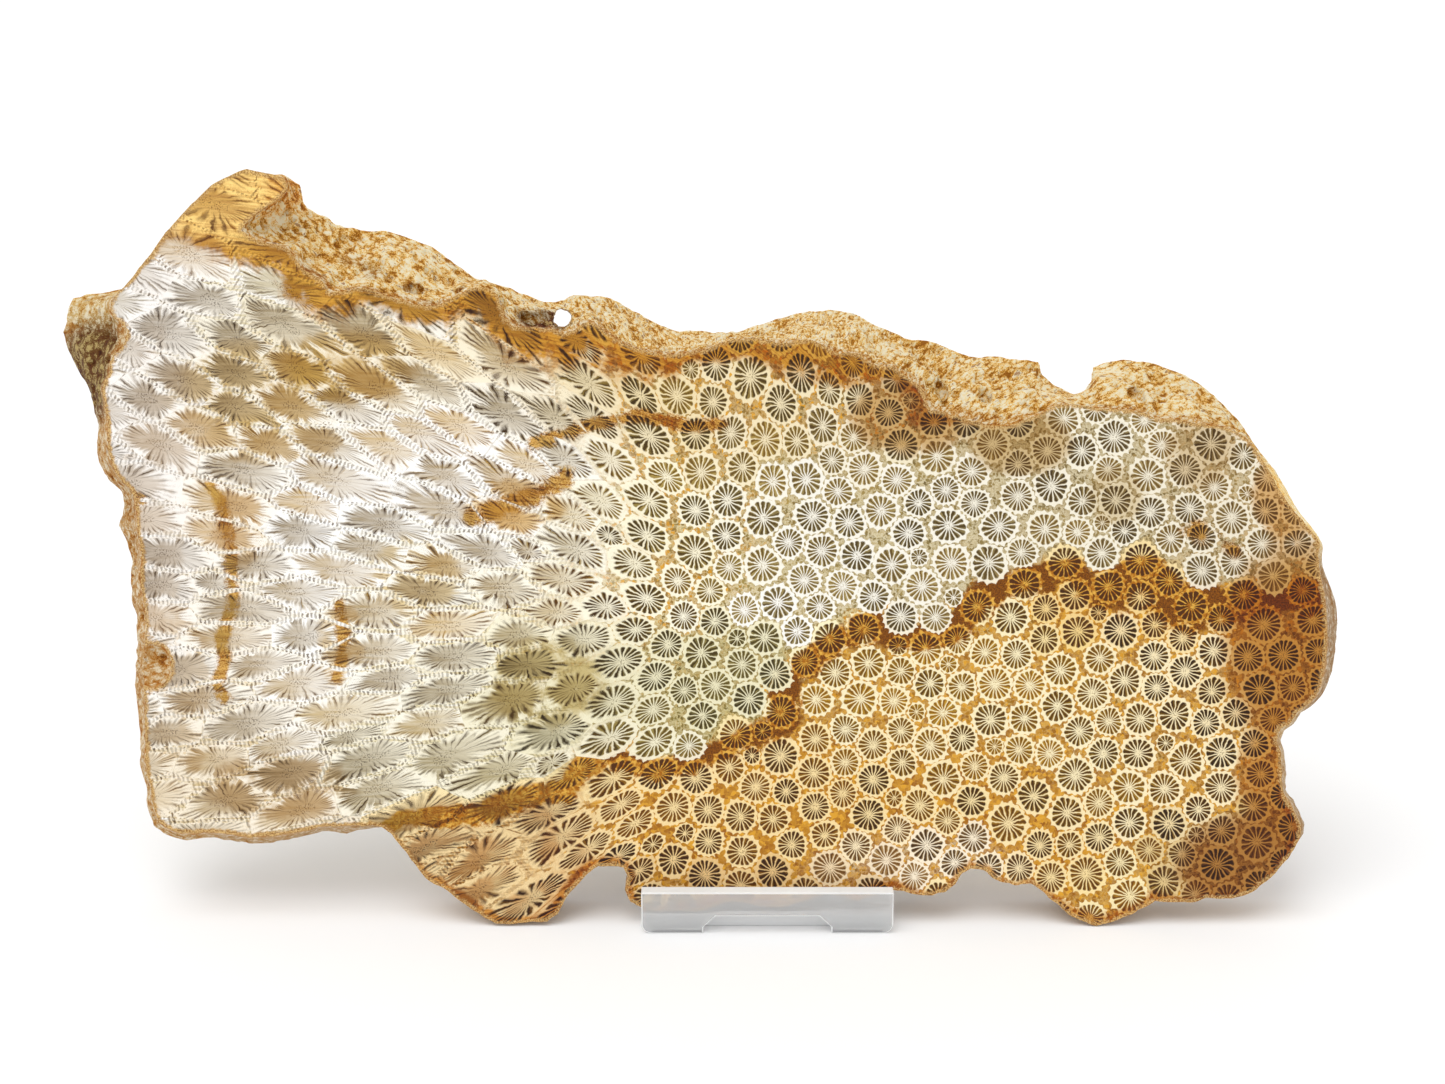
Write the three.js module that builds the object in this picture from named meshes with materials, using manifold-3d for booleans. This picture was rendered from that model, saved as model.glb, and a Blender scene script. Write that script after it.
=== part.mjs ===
// A sawn and polished slice of fossil coral that leans back on a small stand of clear acrylic sheet.
// Lengths are millimetres and +Z is up. The polished face looks towards -Y, with +X to its right.

import * as THREE from "three";
import { mergeVertices } from "three/addons/utils/BufferGeometryUtils.js";
import ManifoldModule from "manifold-3d";

const wasm = await ManifoldModule();
wasm.setup();

// ---- Driving dimensions -------------------------------------------------------------------------

const LEAN = THREE.MathUtils.degToRad(16); // how far the slab tips back from upright
const THICKNESS = 12; // between the two sawn faces of the slab
const SEAT_GAP = 0.3; // clearance between pieces that touch
const TABLE_GAP = 0.15; // the lowest points of the coral over the table
const UNDERCUT = 4; // how much higher the back edge runs where the slab is undercut below

const EDGE_STEP = 2.6; // spacing of the points round the slab's edge
const SKIN_RINGS = [0, 0.1, 0.26, 0.42, 0.58, 0.74, 0.9, 1]; // depths of the rings, front face to back

const SHEET = 3; // thickness of the acrylic
const STAND = {
  x: 13.4, // the middle of the stand along the slab
  width: 50,
  lipHeight: 8.8,
  lipCornerRadius: 2,
  archWidth: 25.4,
  archHeight: 3.7,
  archChamfer: 2.4,
  baseDepth: 54,
  finHeight: 48,
  finTopDepth: 9,
  finHeelHeight: 5,
  finOffset: 11.3, // from the middle of the stand to the middle of each fin
  seatMargin: 3, // the coral clears the base this far past each side of it
};

// ---- The slab's edge ----------------------------------------------------------------------------

// Stretches of the edge, clockwise from the lower left corner as the polished face is seen. Each
// has the outline of the front face and of the back face as [x, z] points up the slab, and runs on
// to the first points of the next stretch. The natural skin spans the two outlines. "rough" is the
// height of its lumps; a stretch with no back outline is undercut.
const EDGE = [
  {
    name: "left side",
    rough: 0.9,
    front: [
      [-108.2, 20.8], [-109.6, 24.5], [-109.8, 28.5], [-110.9, 31.7], [-111, 42], [-111.2, 49],
      [-110.8, 61], [-111, 64], [-112, 68.7], [-111.6, 73], [-112.6, 80.5], [-112.6, 84],
      [-113.6, 87.5], [-116.4, 89.8], [-117.8, 92.8], [-118.6, 96.5], [-118.2, 100],
    ],
    back: [
      [-112.4, 18.8], [-113.8, 22.7], [-113.8, 27], [-115.1, 30.4], [-115.1, 36], [-116.3, 48],
      [-115.6, 58.5], [-115.8, 63], [-117.1, 68.5], [-116.8, 73], [-118.4, 78.3], [-119.9, 81.1],
      [-118.2, 83.3], [-118.7, 87.2], [-121.2, 89.3], [-123.5, 92.7], [-124.3, 97], [-123.5, 99.8],
    ],
  },
  {
    name: "broken spur on the left",
    rough: 0.35,
    front: [
      [-119.2, 105.6], [-119.7, 108.4], [-118, 110.4], [-118, 113.9], [-115, 116.4],
      [-114.5, 120.4], [-117, 121.4], [-118.2, 124.9],
    ],
    back: [
      [-124.7, 106.2], [-126, 109.3], [-128.1, 112.4], [-130.7, 118.5], [-131.2, 120.8],
      [-130.2, 122.1], [-130.2, 124.7], [-128.8, 127.5], [-121.4, 128.4],
    ],
  },
  {
    name: "clean edge of the top left lobe",
    rough: 0.3,
    front: [
      [-115, 128.2], [-112, 131.8], [-109.7, 135], [-106, 139.8], [-101.5, 144.8], [-98, 148.3],
      [-95, 150], [-90.5, 151.6], [-86, 150.6],
    ],
    back: [
      [-116.6, 129.6], [-112.5, 132.8], [-106.8, 140], [-102, 145.2], [-98.4, 148.8],
      [-95.2, 150.8], [-90.6, 152.6], [-86.8, 152.4],
    ],
  },
  {
    name: "crust below the top left lobe",
    rough: 1.3,
    front: [
      [-83, 149.8], [-82, 147.9], [-84.7, 145.2], [-90, 141.9], [-92, 138.9], [-87, 136.8],
      [-82, 135.7], [-79.5, 131.4], [-75.5, 129.5], [-74, 126.5], [-70, 127.4], [-67, 127.9],
      [-61.5, 125.6], [-56, 124.4], [-53, 124.2], [-47.5, 126.7],
    ],
    back: [
      [-85.4, 152.4], [-82.4, 150.4], [-81.5, 146.3], [-80.3, 144.9], [-76.7, 143.8],
      [-75.2, 142.3], [-69, 140.9], [-64.4, 141.1], [-59.2, 139.1], [-55.6, 137.9], [-50.5, 134.3],
    ],
  },
  {
    name: "crust left of the middle",
    rough: 1.2,
    front: [
      [-45, 127.9], [-42, 127.9], [-40, 125.9], [-39.5, 122.4], [-38, 120.4], [-36, 119.9],
      [-30, 119.7], [-27.5, 118.4],
    ],
    back: [
      [-46.4, 131.2], [-41.2, 129.9], [-36.1, 127.7], [-31.5, 126.2], [-28.6, 126.5],
    ],
  },
  {
    name: "crust over the middle",
    rough: 1.1,
    front: [
      [-25, 119.4], [-24.5, 120.9], [-21, 120.7], [-18.5, 118.6], [-14, 116], [-10, 115],
      [-5, 114.4], [1, 115.4], [5, 117.2], [11, 117.9], [14.5, 116.9], [19, 116.9], [21, 117.7],
      [24, 116.7],
    ],
    back: [
      [-26.1, 127.7], [-22.7, 127.6], [-18.6, 127.1], [-10.4, 122.6], [-4.8, 120.2], [-1.2, 120.6],
      [5.5, 119.5], [10.7, 121.1], [18.4, 123.7], [25.6, 124.8],
    ],
  },
  {
    name: "tall crust left of the notch",
    rough: 1.4,
    front: [
      [27, 114.9], [33, 114.4], [34.5, 111.9], [39, 112.2], [41, 110.2], [45, 107.4],
      [45.5, 103.5], [50, 102.6], [55.5, 100.9], [60.5, 99.9], [63.5, 100.7],
    ],
    back: [
      [28.8, 124.4], [31.7, 123.8], [35.9, 121.4], [43.4, 118.5], [47.9, 118.1], [54.9, 115],
      [61.5, 114.9], [68.2, 114.4],
    ],
  },
  {
    name: "notch",
    rough: 0.7,
    front: [[66, 101.9], [69.5, 103.2], [70, 104.4], [74, 104.7], [76.5, 104.2]],
    back: [
      [69.3, 113.9], [70.5, 110.8], [72.3, 109.5], [76.5, 107.2], [79, 108], [80.5, 110],
    ],
  },
  {
    name: "crust over the right shoulder",
    rough: 1.3,
    front: [
      [80, 103.7], [84, 103.4], [89, 102.9], [90.5, 101.7], [95, 101.4], [100, 100.6],
      [105, 99.9], [108, 98.6], [110, 97],
    ],
    back: [
      [80.6, 112.9], [83.6, 113.9], [86.7, 114.5], [90.3, 114.2], [94.4, 113.2], [100.1, 111.1],
      [105.7, 107], [110.9, 101.7],
    ],
  },
  {
    name: "right shoulder",
    rough: 0.8,
    front: [[113.5, 91.9], [115.5, 87.9], [117.5, 84.9], [122, 79.4]],
    back: [[115, 95.4], [117.6, 90.6], [121.2, 85.1], [125.8, 79.5]],
  },
  {
    name: "right side",
    rough: 0.7,
    front: [
      [124, 76.9], [123.5, 72.4], [124.2, 69.4], [125, 66.4], [125.5, 57.4], [125, 52],
      [124, 47.5], [122.2, 45], [119.4, 43], [118.3, 41], [115, 38.8], [115.4, 36.3],
      [116.4, 34.2], [116.3, 30], [115.9, 28],
    ],
    back: [
      [127.8, 75.4], [127.5, 72.3], [128.6, 69.5], [130.6, 64.6], [130.8, 61], [130.6, 56.3],
      [130.1, 51.7], [128.4, 46.1], [126.8, 44.3], [123.2, 41.9], [122.2, 39.9], [118.8, 37.6],
      [119.3, 35.3], [120.3, 33], [120.3, 28.6], [119.8, 26.5],
    ],
  },
  {
    name: "lower right corner",
    rough: 0.7,
    front: [
      [117.8, 25], [120.5, 19.8], [119.9, 17.4], [117.5, 13.6], [115, 10.8], [113, 9], [111, 7],
    ],
    back: [
      [121.7, 24], [124.3, 18.6], [123, 16.4], [119.5, 13.4], [116, 12], [113, 11.4],
    ],
  },
  {
    name: "right foot and the bottom right of the stand",
    rough: 0.5,
    front: [
      [109, 6.3], [105.5, 5.5], [101, 5.9], [98.5, 5], [94.5, 4.8], [91, 5.2], [89, 4], [86, 2.5],
      [82, 0.9], [79.8, 0.2], [77.7, 0.6], [75, 1.7], [72.5, 3.5], [69.5, 6.2], [66.5, 8.6],
      [62.5, 8.3], [58, 10], [56.5, 11.5], [53.5, 11.7], [52.2, 10.8], [52.3, 9.2], [49.5, 7.2],
      [45.7, 6.2], [42, 6.9],
    ],
  },
  {
    name: "bottom over the stand",
    rough: 0.4,
    front: [
      [38.8, 7.4], [34.8, 6.9], [31.6, 5.7], [27.4, 7.1], [23.4, 6.7], [20.2, 5.3], [16.4, 4.4],
      [12, 4.4], [8.3, 5.5], [4.8, 5.5], [2, 3.9], [1, 3.6], [-9, 3.6], [-11.2, 3.9],
    ],
  },
  {
    name: "left foot",
    rough: 0.5,
    front: [
      [-13.9, 5], [-15, 7.3], [-14.4, 9.6], [-14.8, 12], [-17.1, 11.8], [-19.3, 12.4],
      [-21.6, 11.8], [-23.6, 9.2], [-26.8, 6], [-27.9, 3.3], [-30, 1.1], [-35.9, 0.9],
      [-40.2, 0.4], [-43.9, 2.2], [-47.7, 4.9], [-50.4, 7.3], [-55.2, 9.7], [-57.5, 13.2],
    ],
  },
  {
    name: "bottom left",
    rough: 0.8,
    front: [
      [-60.5, 16.9], [-62.4, 19.6], [-65, 20.4], [-70, 20.2], [-75, 20.2], [-80, 19],
      [-86, 18.2], [-90, 18], [-98, 19], [-103, 18.6], [-106, 19.4],
    ],
    back: [
      [-61, 20.4], [-63.4, 20.6], [-65.6, 18.6], [-70.5, 17.8], [-72.2, 16.8], [-76.6, 17.8],
      [-82.2, 16.4], [-88.2, 15.2], [-92.6, 15], [-100.9, 16.3], [-105.8, 15.6], [-109.7, 16.7],
    ],
  },
];

// Hollows in the skin and the faces, as ellipsoids: the centre's [x, depth, z] and the half sizes.
const HOLLOWS = [
  { name: "cavity beside the bore", centre: [-33.2, 3.6, 122.8], radii: [3.5, 3, 2.5] },
  { name: "pocket of bare skin on the left", centre: [-109.4, -0.4, 52.2], radii: [4.2, 1.8, 5] },
  { name: "pit under the top left lobe", centre: [-76, 4, 134.5], radii: [3.2, 2.4, 2] },
  { name: "pit beside it", centre: [-68.5, 3, 131.6], radii: [2.6, 2.4, 1.7] },
  { name: "high pit", centre: [-72, 9, 138.6], radii: [2.4, 2, 1.8] },
  { name: "pit over the left crust", centre: [-57.5, 3, 128.2], radii: [2.8, 2, 1.8] },
  { name: "second pit over the left crust", centre: [-51, 2.6, 128.6], radii: [2, 1.8, 1.6] },
  { name: "pit at the lobe's corner", centre: [-87.5, 2, 140], radii: [3, 2.2, 1.6] },
  { name: "pit right of the bore", centre: [-19.5, 3.4, 122.2], radii: [2.2, 2.2, 1.4] },
  { name: "pit in the tall crust", centre: [48.5, 3.4, 107.6], radii: [2, 2.2, 2.8] },
  { name: "second pit in the tall crust", centre: [57.4, 4, 106.4], radii: [1.7, 2, 2.8] },
  { name: "pit on the right shoulder", centre: [88, 4, 106.8], radii: [2.2, 2.2, 1.8] },
  { name: "pit in the broken spur", centre: [-121.5, 5.5, 127.6], radii: [2.6, 2.6, 1.7] },
];

// A worm bore goes right through the crust over the middle, from the skin to the back face.
const BORE = {
  front: [-27.4, -2, 121.3],
  back: [-28.8, 14, 123.3],
  radius: 1.9,
};

// ---- Relief -------------------------------------------------------------------------------------

// A repeatable random number from -1 to 1 for each point of a whole-number lattice.
function latticeValue(i, j, k) {
  const wave = Math.sin(i * 127.1 + j * 311.7 + k * 74.7) * 43758.5453;
  return 2 * (wave - Math.floor(wave)) - 1;
}

// Smooth noise from -1 to 1, with features about one unit across.
function noise(x, y, z) {
  const cell = [x, y, z].map(Math.floor);
  const blend = [x - cell[0], y - cell[1], z - cell[2]].map((t) => t * t * (3 - 2 * t));
  let sum = 0;
  for (let corner = 0; corner < 8; corner += 1) {
    const step = [corner & 1, (corner >> 1) & 1, (corner >> 2) & 1];
    const weights = step.map((bit, axis) => (bit ? blend[axis] : 1 - blend[axis]));
    const value = latticeValue(cell[0] + step[0], cell[1] + step[1], cell[2] + step[2]);
    sum += value * weights[0] * weights[1] * weights[2];
  }
  return sum;
}

// The height of the skin's lumps and of the ribs that run from face to face, from about -1 to 1.
function skinRelief(x, depth, z) {
  const lumps = noise(x / 6.5, depth / 4.5, z / 6.5);
  const ribs = noise(x / 2.9 + 40, depth / 14, z / 2.9);
  return 0.9 * lumps + 0.7 * ribs;
}

// Ledges: the skin goes out from the front outline to the back one in uneven steps.
function skinReach(x, depth, z) {
  const along = depth / THICKNESS;
  const ledge = 0.24 * noise(x / 11 + 7, 3 * along, z / 11);
  return THREE.MathUtils.clamp(along + ledge * Math.sin(Math.PI * along), 0, 1);
}

// ---- The slab -----------------------------------------------------------------------------------

function polylineLength(points) {
  let length = 0;
  for (let i = 1; i < points.length; i += 1) {
    length += Math.hypot(points[i][0] - points[i - 1][0], points[i][1] - points[i - 1][1]);
  }
  return length;
}

// "count" points at even steps along the polyline, the last point left out.
function evenPoints(points, count) {
  const spacing = polylineLength(points) / count;
  const result = [];
  let segment = 1;
  let travelled = 0;
  for (let i = 0; i < count; i += 1) {
    let [from, to] = [points[segment - 1], points[segment]];
    let segmentLength = Math.hypot(to[0] - from[0], to[1] - from[1]);
    while (travelled + segmentLength < i * spacing && segment < points.length - 1) {
      travelled += segmentLength;
      segment += 1;
      [from, to] = [points[segment - 1], points[segment]];
      segmentLength = Math.hypot(to[0] - from[0], to[1] - from[1]);
    }
    const share = (i * spacing - travelled) / segmentLength;
    result.push([from[0] + share * (to[0] - from[0]), from[1] + share * (to[1] - from[1])]);
  }
  return result;
}

// The back outline of a stretch; an undercut one is the front outline, raised.
function backOutline(stretch) {
  return stretch.back ?? stretch.front.map(([x, z]) => [x, z + UNDERCUT]);
}

// Pairs of matching points all round the slab: one on each face's outline.
function edgePairs() {
  const pairs = [];
  EDGE.forEach((stretch, index) => {
    const next = EDGE[(index + 1) % EDGE.length];
    const front = [...stretch.front, next.front[0]];
    const back = [...backOutline(stretch), backOutline(next)[0]];
    const longest = Math.max(polylineLength(front), polylineLength(back));
    const count = Math.round(longest / EDGE_STEP);
    const backPoints = evenPoints(back, count);
    evenPoints(front, count).forEach((point, i) => {
      pairs.push({ front: point, back: backPoints[i], rough: stretch.rough });
    });
  });
  return pairs;
}

// The lowest that the leaning slab may reach at a depth, up the slab: over the table or the base.
function lowestHeight(x, depth) {
  const overStand = Math.abs(x - STAND.x) < STAND.width / 2 + STAND.seatMargin;
  const floor = overStand ? SHEET + SEAT_GAP : TABLE_GAP;
  return (floor + depth * Math.sin(LEAN)) / Math.cos(LEAN);
}

// One ring of the skin, as [x, z] points at a share of the thickness.
function skinRing(pairs, share) {
  const depth = share * THICKNESS;
  const base = pairs.map(({ front, back }) => {
    const reach = skinReach(front[0], depth, front[1]);
    return [front[0] + reach * (back[0] - front[0]), front[1] + reach * (back[1] - front[1])];
  });
  return base.map(([x, z], i) => {
    const before = base[(i + base.length - 2) % base.length];
    const after = base[(i + 2) % base.length];
    const tangent = new THREE.Vector2(after[0] - before[0], after[1] - before[1]).normalize();
    const outward = new THREE.Vector2(-tangent.y, tangent.x); // the edge runs clockwise
    const height = pairs[i].rough * skinRelief(x, depth, z) * Math.sin(Math.PI * share);
    const lifted = z + outward.y * height;
    const floor = lowestHeight(x, depth);
    const free = share === 0 || share === 1 ? z : Math.max(lifted, floor);
    return [x + outward.x * height, free];
  });
}

// The two sawn faces as triangles of ring indices, wound clockwise as the front face is seen.
function faceTriangles(ring) {
  const contour = ring.map(([x, z]) => new THREE.Vector2(x, z));
  return THREE.ShapeUtils.triangulateShape(contour, []).map(([a, b, c]) => {
    const area = (contour[b].x - contour[a].x) * (contour[c].y - contour[a].y)
      - (contour[c].x - contour[a].x) * (contour[b].y - contour[a].y);
    return area < 0 ? [a, b, c] : [a, c, b];
  });
}

// A closed solid from flat lists of corner coordinates and of triangle corners.
function solidFrom(vertices, triangles) {
  const mesh = new wasm.Mesh({
    numProp: 3,
    vertProperties: Float32Array.from(vertices),
    triVerts: Uint32Array.from(triangles),
  });
  return new wasm.Manifold(mesh);
}

// A closed solid from a three.js shape, with its shared corners merged.
function solidFromGeometry(geometry) {
  const bare = geometry.clone();
  bare.deleteAttribute("normal");
  bare.deleteAttribute("uv");
  const merged = mergeVertices(bare, 1e-4);
  return solidFrom(merged.attributes.position.array, merged.index.array);
}

function geometryFromSolid(solid) {
  const mesh = solid.getMesh();
  const geometry = new THREE.BufferGeometry();
  geometry.setAttribute("position", new THREE.BufferAttribute(mesh.vertProperties, mesh.numProp));
  geometry.setIndex(new THREE.BufferAttribute(mesh.triVerts, 1));
  return geometry;
}

// The slab before its hollows: skin rings between the two sawn faces. Local Y is the depth.
function roughSlab() {
  const pairs = edgePairs();
  const count = pairs.length;
  const rings = SKIN_RINGS.map((share) => skinRing(pairs, share));
  const vertices = rings.flatMap((ring, level) => (
    ring.flatMap(([x, z]) => [x, SKIN_RINGS[level] * THICKNESS, z])
  ));
  const triangles = [];
  for (let level = 0; level + 1 < rings.length; level += 1) {
    for (let i = 0; i < count; i += 1) {
      const near = level * count + i;
      const nearNext = level * count + ((i + 1) % count);
      const far = near + count;
      const farNext = nearNext + count;
      triangles.push(near, nearNext, far, nearNext, farNext, far);
    }
  }
  const last = (rings.length - 1) * count;
  faceTriangles(rings[0]).forEach(([a, b, c]) => triangles.push(a, c, b));
  faceTriangles(rings[rings.length - 1]).forEach(([a, b, c]) => {
    triangles.push(last + a, last + b, last + c);
  });
  return solidFrom(vertices, triangles);
}

function hollow({ centre, radii }) {
  const geometry = new THREE.SphereGeometry(1, 9, 6);
  geometry.scale(...radii);
  geometry.translate(...centre);
  return solidFromGeometry(geometry);
}

function bore() {
  const front = new THREE.Vector3(...BORE.front);
  const back = new THREE.Vector3(...BORE.back);
  const axis = back.clone().sub(front);
  const geometry = new THREE.CylinderGeometry(BORE.radius, BORE.radius, axis.length(), 9);
  const turn = new THREE.Quaternion().setFromUnitVectors(
    new THREE.Vector3(0, 1, 0),
    axis.clone().normalize(),
  );
  geometry.applyQuaternion(turn);
  geometry.translate(...front.add(back).multiplyScalar(0.5));
  return solidFromGeometry(geometry);
}

function coralGeometry() {
  const cuts = [...HOLLOWS.map(hollow), bore()];
  return geometryFromSolid(cuts.reduce((solid, cut) => solid.subtract(cut), roughSlab()));
}

// ---- The stand ----------------------------------------------------------------------------------

// A flat sheet cut to a shape drawn in X and Z, standing across Y.
function uprightSheet(shape) {
  const geometry = new THREE.ExtrudeGeometry(shape, {
    depth: SHEET,
    bevelEnabled: false,
    curveSegments: 6,
  });
  geometry.rotateX(Math.PI / 2); // the drawing's Y becomes Z, and the sheet runs from Y = 0 to -SHEET
  return geometry;
}

// The lip in front of the slab, with an arch at the middle of its foot.
function lipGeometry() {
  const half = STAND.width / 2;
  const radius = STAND.lipCornerRadius;
  const archFoot = STAND.archWidth / 2;
  const archTop = archFoot - STAND.archChamfer;
  const shoulder = STAND.archHeight - STAND.archChamfer;
  const shape = new THREE.Shape();
  shape.moveTo(-half, STAND.lipHeight);
  shape.lineTo(-half, radius);
  shape.absarc(-half + radius, radius, radius, Math.PI, 1.5 * Math.PI, false);
  shape.lineTo(-archFoot, 0);
  shape.lineTo(-archFoot, shoulder);
  shape.lineTo(-archTop, STAND.archHeight);
  shape.lineTo(archTop, STAND.archHeight);
  shape.lineTo(archFoot, shoulder);
  shape.lineTo(archFoot, 0);
  shape.lineTo(half - radius, 0);
  shape.absarc(half - radius, radius, radius, 1.5 * Math.PI, 2 * Math.PI, false);
  shape.lineTo(half, STAND.lipHeight);
  return uprightSheet(shape);
}

// The base that the fins stand on, behind the lip.
function baseGeometry() {
  const geometry = new THREE.BoxGeometry(STAND.width, STAND.baseDepth, SHEET);
  geometry.translate(0, SEAT_GAP + STAND.baseDepth / 2, SHEET / 2);
  return geometry;
}

// Where a fin's front edge runs at a height: just behind the back face of the leaning slab.
function finFront(height) {
  return height * Math.tan(LEAN) + (THICKNESS + SEAT_GAP) / Math.cos(LEAN);
}

// A fin, drawn in Y and Z: its front edge leans with the slab and its back edge slopes to the base.
function finGeometry() {
  const foot = SHEET + SEAT_GAP;
  const rear = SEAT_GAP + STAND.baseDepth;
  const shape = new THREE.Shape();
  shape.moveTo(finFront(foot), foot);
  shape.lineTo(rear, foot);
  shape.lineTo(rear, foot + STAND.finHeelHeight);
  shape.lineTo(finFront(STAND.finHeight) + STAND.finTopDepth, STAND.finHeight);
  shape.lineTo(finFront(STAND.finHeight), STAND.finHeight);
  const geometry = new THREE.ExtrudeGeometry(shape, { depth: SHEET, bevelEnabled: false });
  geometry.translate(0, 0, -SHEET / 2);
  geometry.rotateX(Math.PI / 2);
  geometry.rotateZ(Math.PI / 2);
  return geometry;
}

// ---- Assembly -----------------------------------------------------------------------------------

const coralMaterial = new THREE.MeshStandardMaterial({ color: "#e8dcc0", roughness: 0.25 });
const acrylicMaterial = new THREE.MeshStandardMaterial({ color: "#eaf1f3", roughness: 0.04 });

function piece(name, geometry, material) {
  const mesh = new THREE.Mesh(geometry, material);
  mesh.name = name;
  return mesh;
}

const slab = new THREE.Group();
slab.rotation.x = -LEAN;
slab.add(piece("coral_slice", coralGeometry(), coralMaterial));

const stand = new THREE.Group();
stand.position.x = STAND.x;
stand.add(piece("stand_lip", lipGeometry(), acrylicMaterial));
stand.add(piece("stand_base", baseGeometry(), acrylicMaterial));
for (const [side, name] of [[-1, "stand_fin_left"], [1, "stand_fin_right"]]) {
  const fin = piece(name, finGeometry(), acrylicMaterial);
  fin.position.x = side * STAND.finOffset;
  stand.add(fin);
}

// The origin is on the table, under the middle of the whole object's box.
const object = new THREE.Group();
object.add(slab, stand);
object.updateMatrixWorld(true);
const box = new THREE.Box3().setFromObject(object, true);
object.position.set(-(box.min.x + box.max.x) / 2, -(box.min.y + box.max.y) / 2, -box.min.z);

const part = new THREE.Group();
part.name = "fossil_coral_slice";
part.add(object);

export default part;
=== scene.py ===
"""Looks of the fossil coral slice on its clear stand: polished coral, natural crust and acrylic."""

import math

import bmesh
import bpy
import numpy as np
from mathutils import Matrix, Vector
from mathutils.geometry import delaunay_2d_cdt


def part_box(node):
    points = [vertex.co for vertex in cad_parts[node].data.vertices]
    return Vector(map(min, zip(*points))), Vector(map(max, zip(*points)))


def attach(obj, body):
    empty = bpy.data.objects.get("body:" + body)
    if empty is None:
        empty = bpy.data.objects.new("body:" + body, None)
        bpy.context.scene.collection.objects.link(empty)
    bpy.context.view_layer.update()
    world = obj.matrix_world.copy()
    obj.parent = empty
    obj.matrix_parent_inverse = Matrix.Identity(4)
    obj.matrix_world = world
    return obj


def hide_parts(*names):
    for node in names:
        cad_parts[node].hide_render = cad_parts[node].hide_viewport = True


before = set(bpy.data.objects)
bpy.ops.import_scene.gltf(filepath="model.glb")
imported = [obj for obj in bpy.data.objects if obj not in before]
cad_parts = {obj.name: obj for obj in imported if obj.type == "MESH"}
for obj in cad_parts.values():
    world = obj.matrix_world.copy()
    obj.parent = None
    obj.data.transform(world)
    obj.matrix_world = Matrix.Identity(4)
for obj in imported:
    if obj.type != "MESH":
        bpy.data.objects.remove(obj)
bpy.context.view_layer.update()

MM = 0.001

# ---- Driving values, in millimetres unless a name says otherwise --------------------------------

LEAN = math.radians(16)  # how far the slab tips back
THICKNESS = 12.0
STAND_MIDDLE = 13.4  # along the slab, from the slab's own origin
SHEET = 3.0  # the stand's acrylic
SHEET_BEVEL = 0.25
TABLE_CLEARANCE = 0.1
BASE_CLEARANCE = 0.05
BASE_REACH = 27.0  # half of the base's width, with some room

# How the slab's mesh is cut
FLAT = 0.01  # how near to a sawn face a CAD point lies to be on it
SKIN_SPLITS = 2  # how often each edge of the CAD skin is halved
LUMP, RIB, GRAIN, PIT = 0.42, 0.16, 0.3, 0.95  # heights and depths of the crust's relief
RELIEF_FADE = 1.6  # how far from a sawn edge the relief is at its full height
RIM_WOBBLE = 0.22  # how far the sawn edges wander in and out
FACE_ROOM = 0.03  # how near the crust comes to the plane of a sawn face
GRID_STEP = 1.3  # spacing of the points that carry the tints over the faces
GRID_ROOM = 0.5  # from those points to the outline
WALL_ROOM = 0.35  # nearer than this to the outline, a cell's corner joins it
CHUNK = 2000  # points looked at together where each is compared with many others
FAR = 1e3  # further than anything

# How the colony grows
COLONY_SEED = 7
OUTER_MARGIN = 8.0  # how far the colony is grown past the slice's outline
BACK_SHRINK = 0.92  # how much narrower the colony is at the back face
LARGE_RADIUS = 3.35  # of a full-grown corallite
BUD_SHARE = np.array([0.5, 0.72])  # a bud's least and most radius, of a full-grown one's
WALL_GAP = 0.3  # between the walls of two neighbours
CELL_MARGIN = 0.15  # from a corallite to the edge of its cell, where it has room
BUD_GAP = 0.12  # between a bud and its neighbours
CELL_REACH = 9.0  # half of the square that each cell is cut from
ZIPPER_ROW = 1.15  # between rows of dashes along the walls of slanting corallites
ZIPPER_STEP = 0.85  # from dash to dash along a row
SPINE_SEPTA = 17.2  # septa to each radius of length along a slanting corallite's spine

# ---- The slab's own coordinates -----------------------------------------------------------------
# A point is (x, z, depth): x along the slab, z up its front face, depth from that face to the back.

lip_low, lip_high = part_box("stand_lip")
ORIGIN = np.array([(lip_low[0] + lip_high[0]) / 2 - STAND_MIDDLE * MM, lip_high[1], 0.0])
AXES = np.array([
    [1.0, 0.0, 0.0],
    [0.0, math.sin(LEAN), math.cos(LEAN)],
    [0.0, math.cos(LEAN), -math.sin(LEAN)],
])


def to_slab(points):
    """World metres to the slab's millimetres."""
    return (np.asarray(points) - ORIGIN) @ AXES.T / MM


def to_world(points):
    """The slab's millimetres to world metres."""
    return np.asarray(points) @ AXES * MM + ORIGIN


# ---- Repeatable noise ---------------------------------------------------------------------------

def lattice(i, j, k):
    """A repeatable number from 0 to 1 for each whole-number lattice point."""
    wave = np.sin(i * 127.1 + j * 311.7 + k * 74.7) * 43758.5453
    return wave - np.floor(wave)


def noise(x, y, z):
    """Smooth noise from -1 to 1 with features about one unit across."""
    point = np.stack(np.broadcast_arrays(x, y, z), axis=-1).astype(float)
    cell = np.floor(point)
    blend = point - cell
    blend = blend * blend * (3 - 2 * blend)
    total = 0.0
    for corner in range(8):
        step = np.array([corner & 1, (corner >> 1) & 1, (corner >> 2) & 1])
        weight = np.where(step, blend, 1 - blend).prod(axis=-1)
        total = total + weight * lattice(*np.moveaxis(cell + step, -1, 0))
    return 2 * total - 1


def octaves(x, y, z, count):
    """Layers of noise, each half the size and height of the one before."""
    total = 0.0
    for level in range(count):
        scale = 2 ** level
        total = total + noise(x * scale + 17 * level, y * scale, z * scale) / scale
    return total


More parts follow.
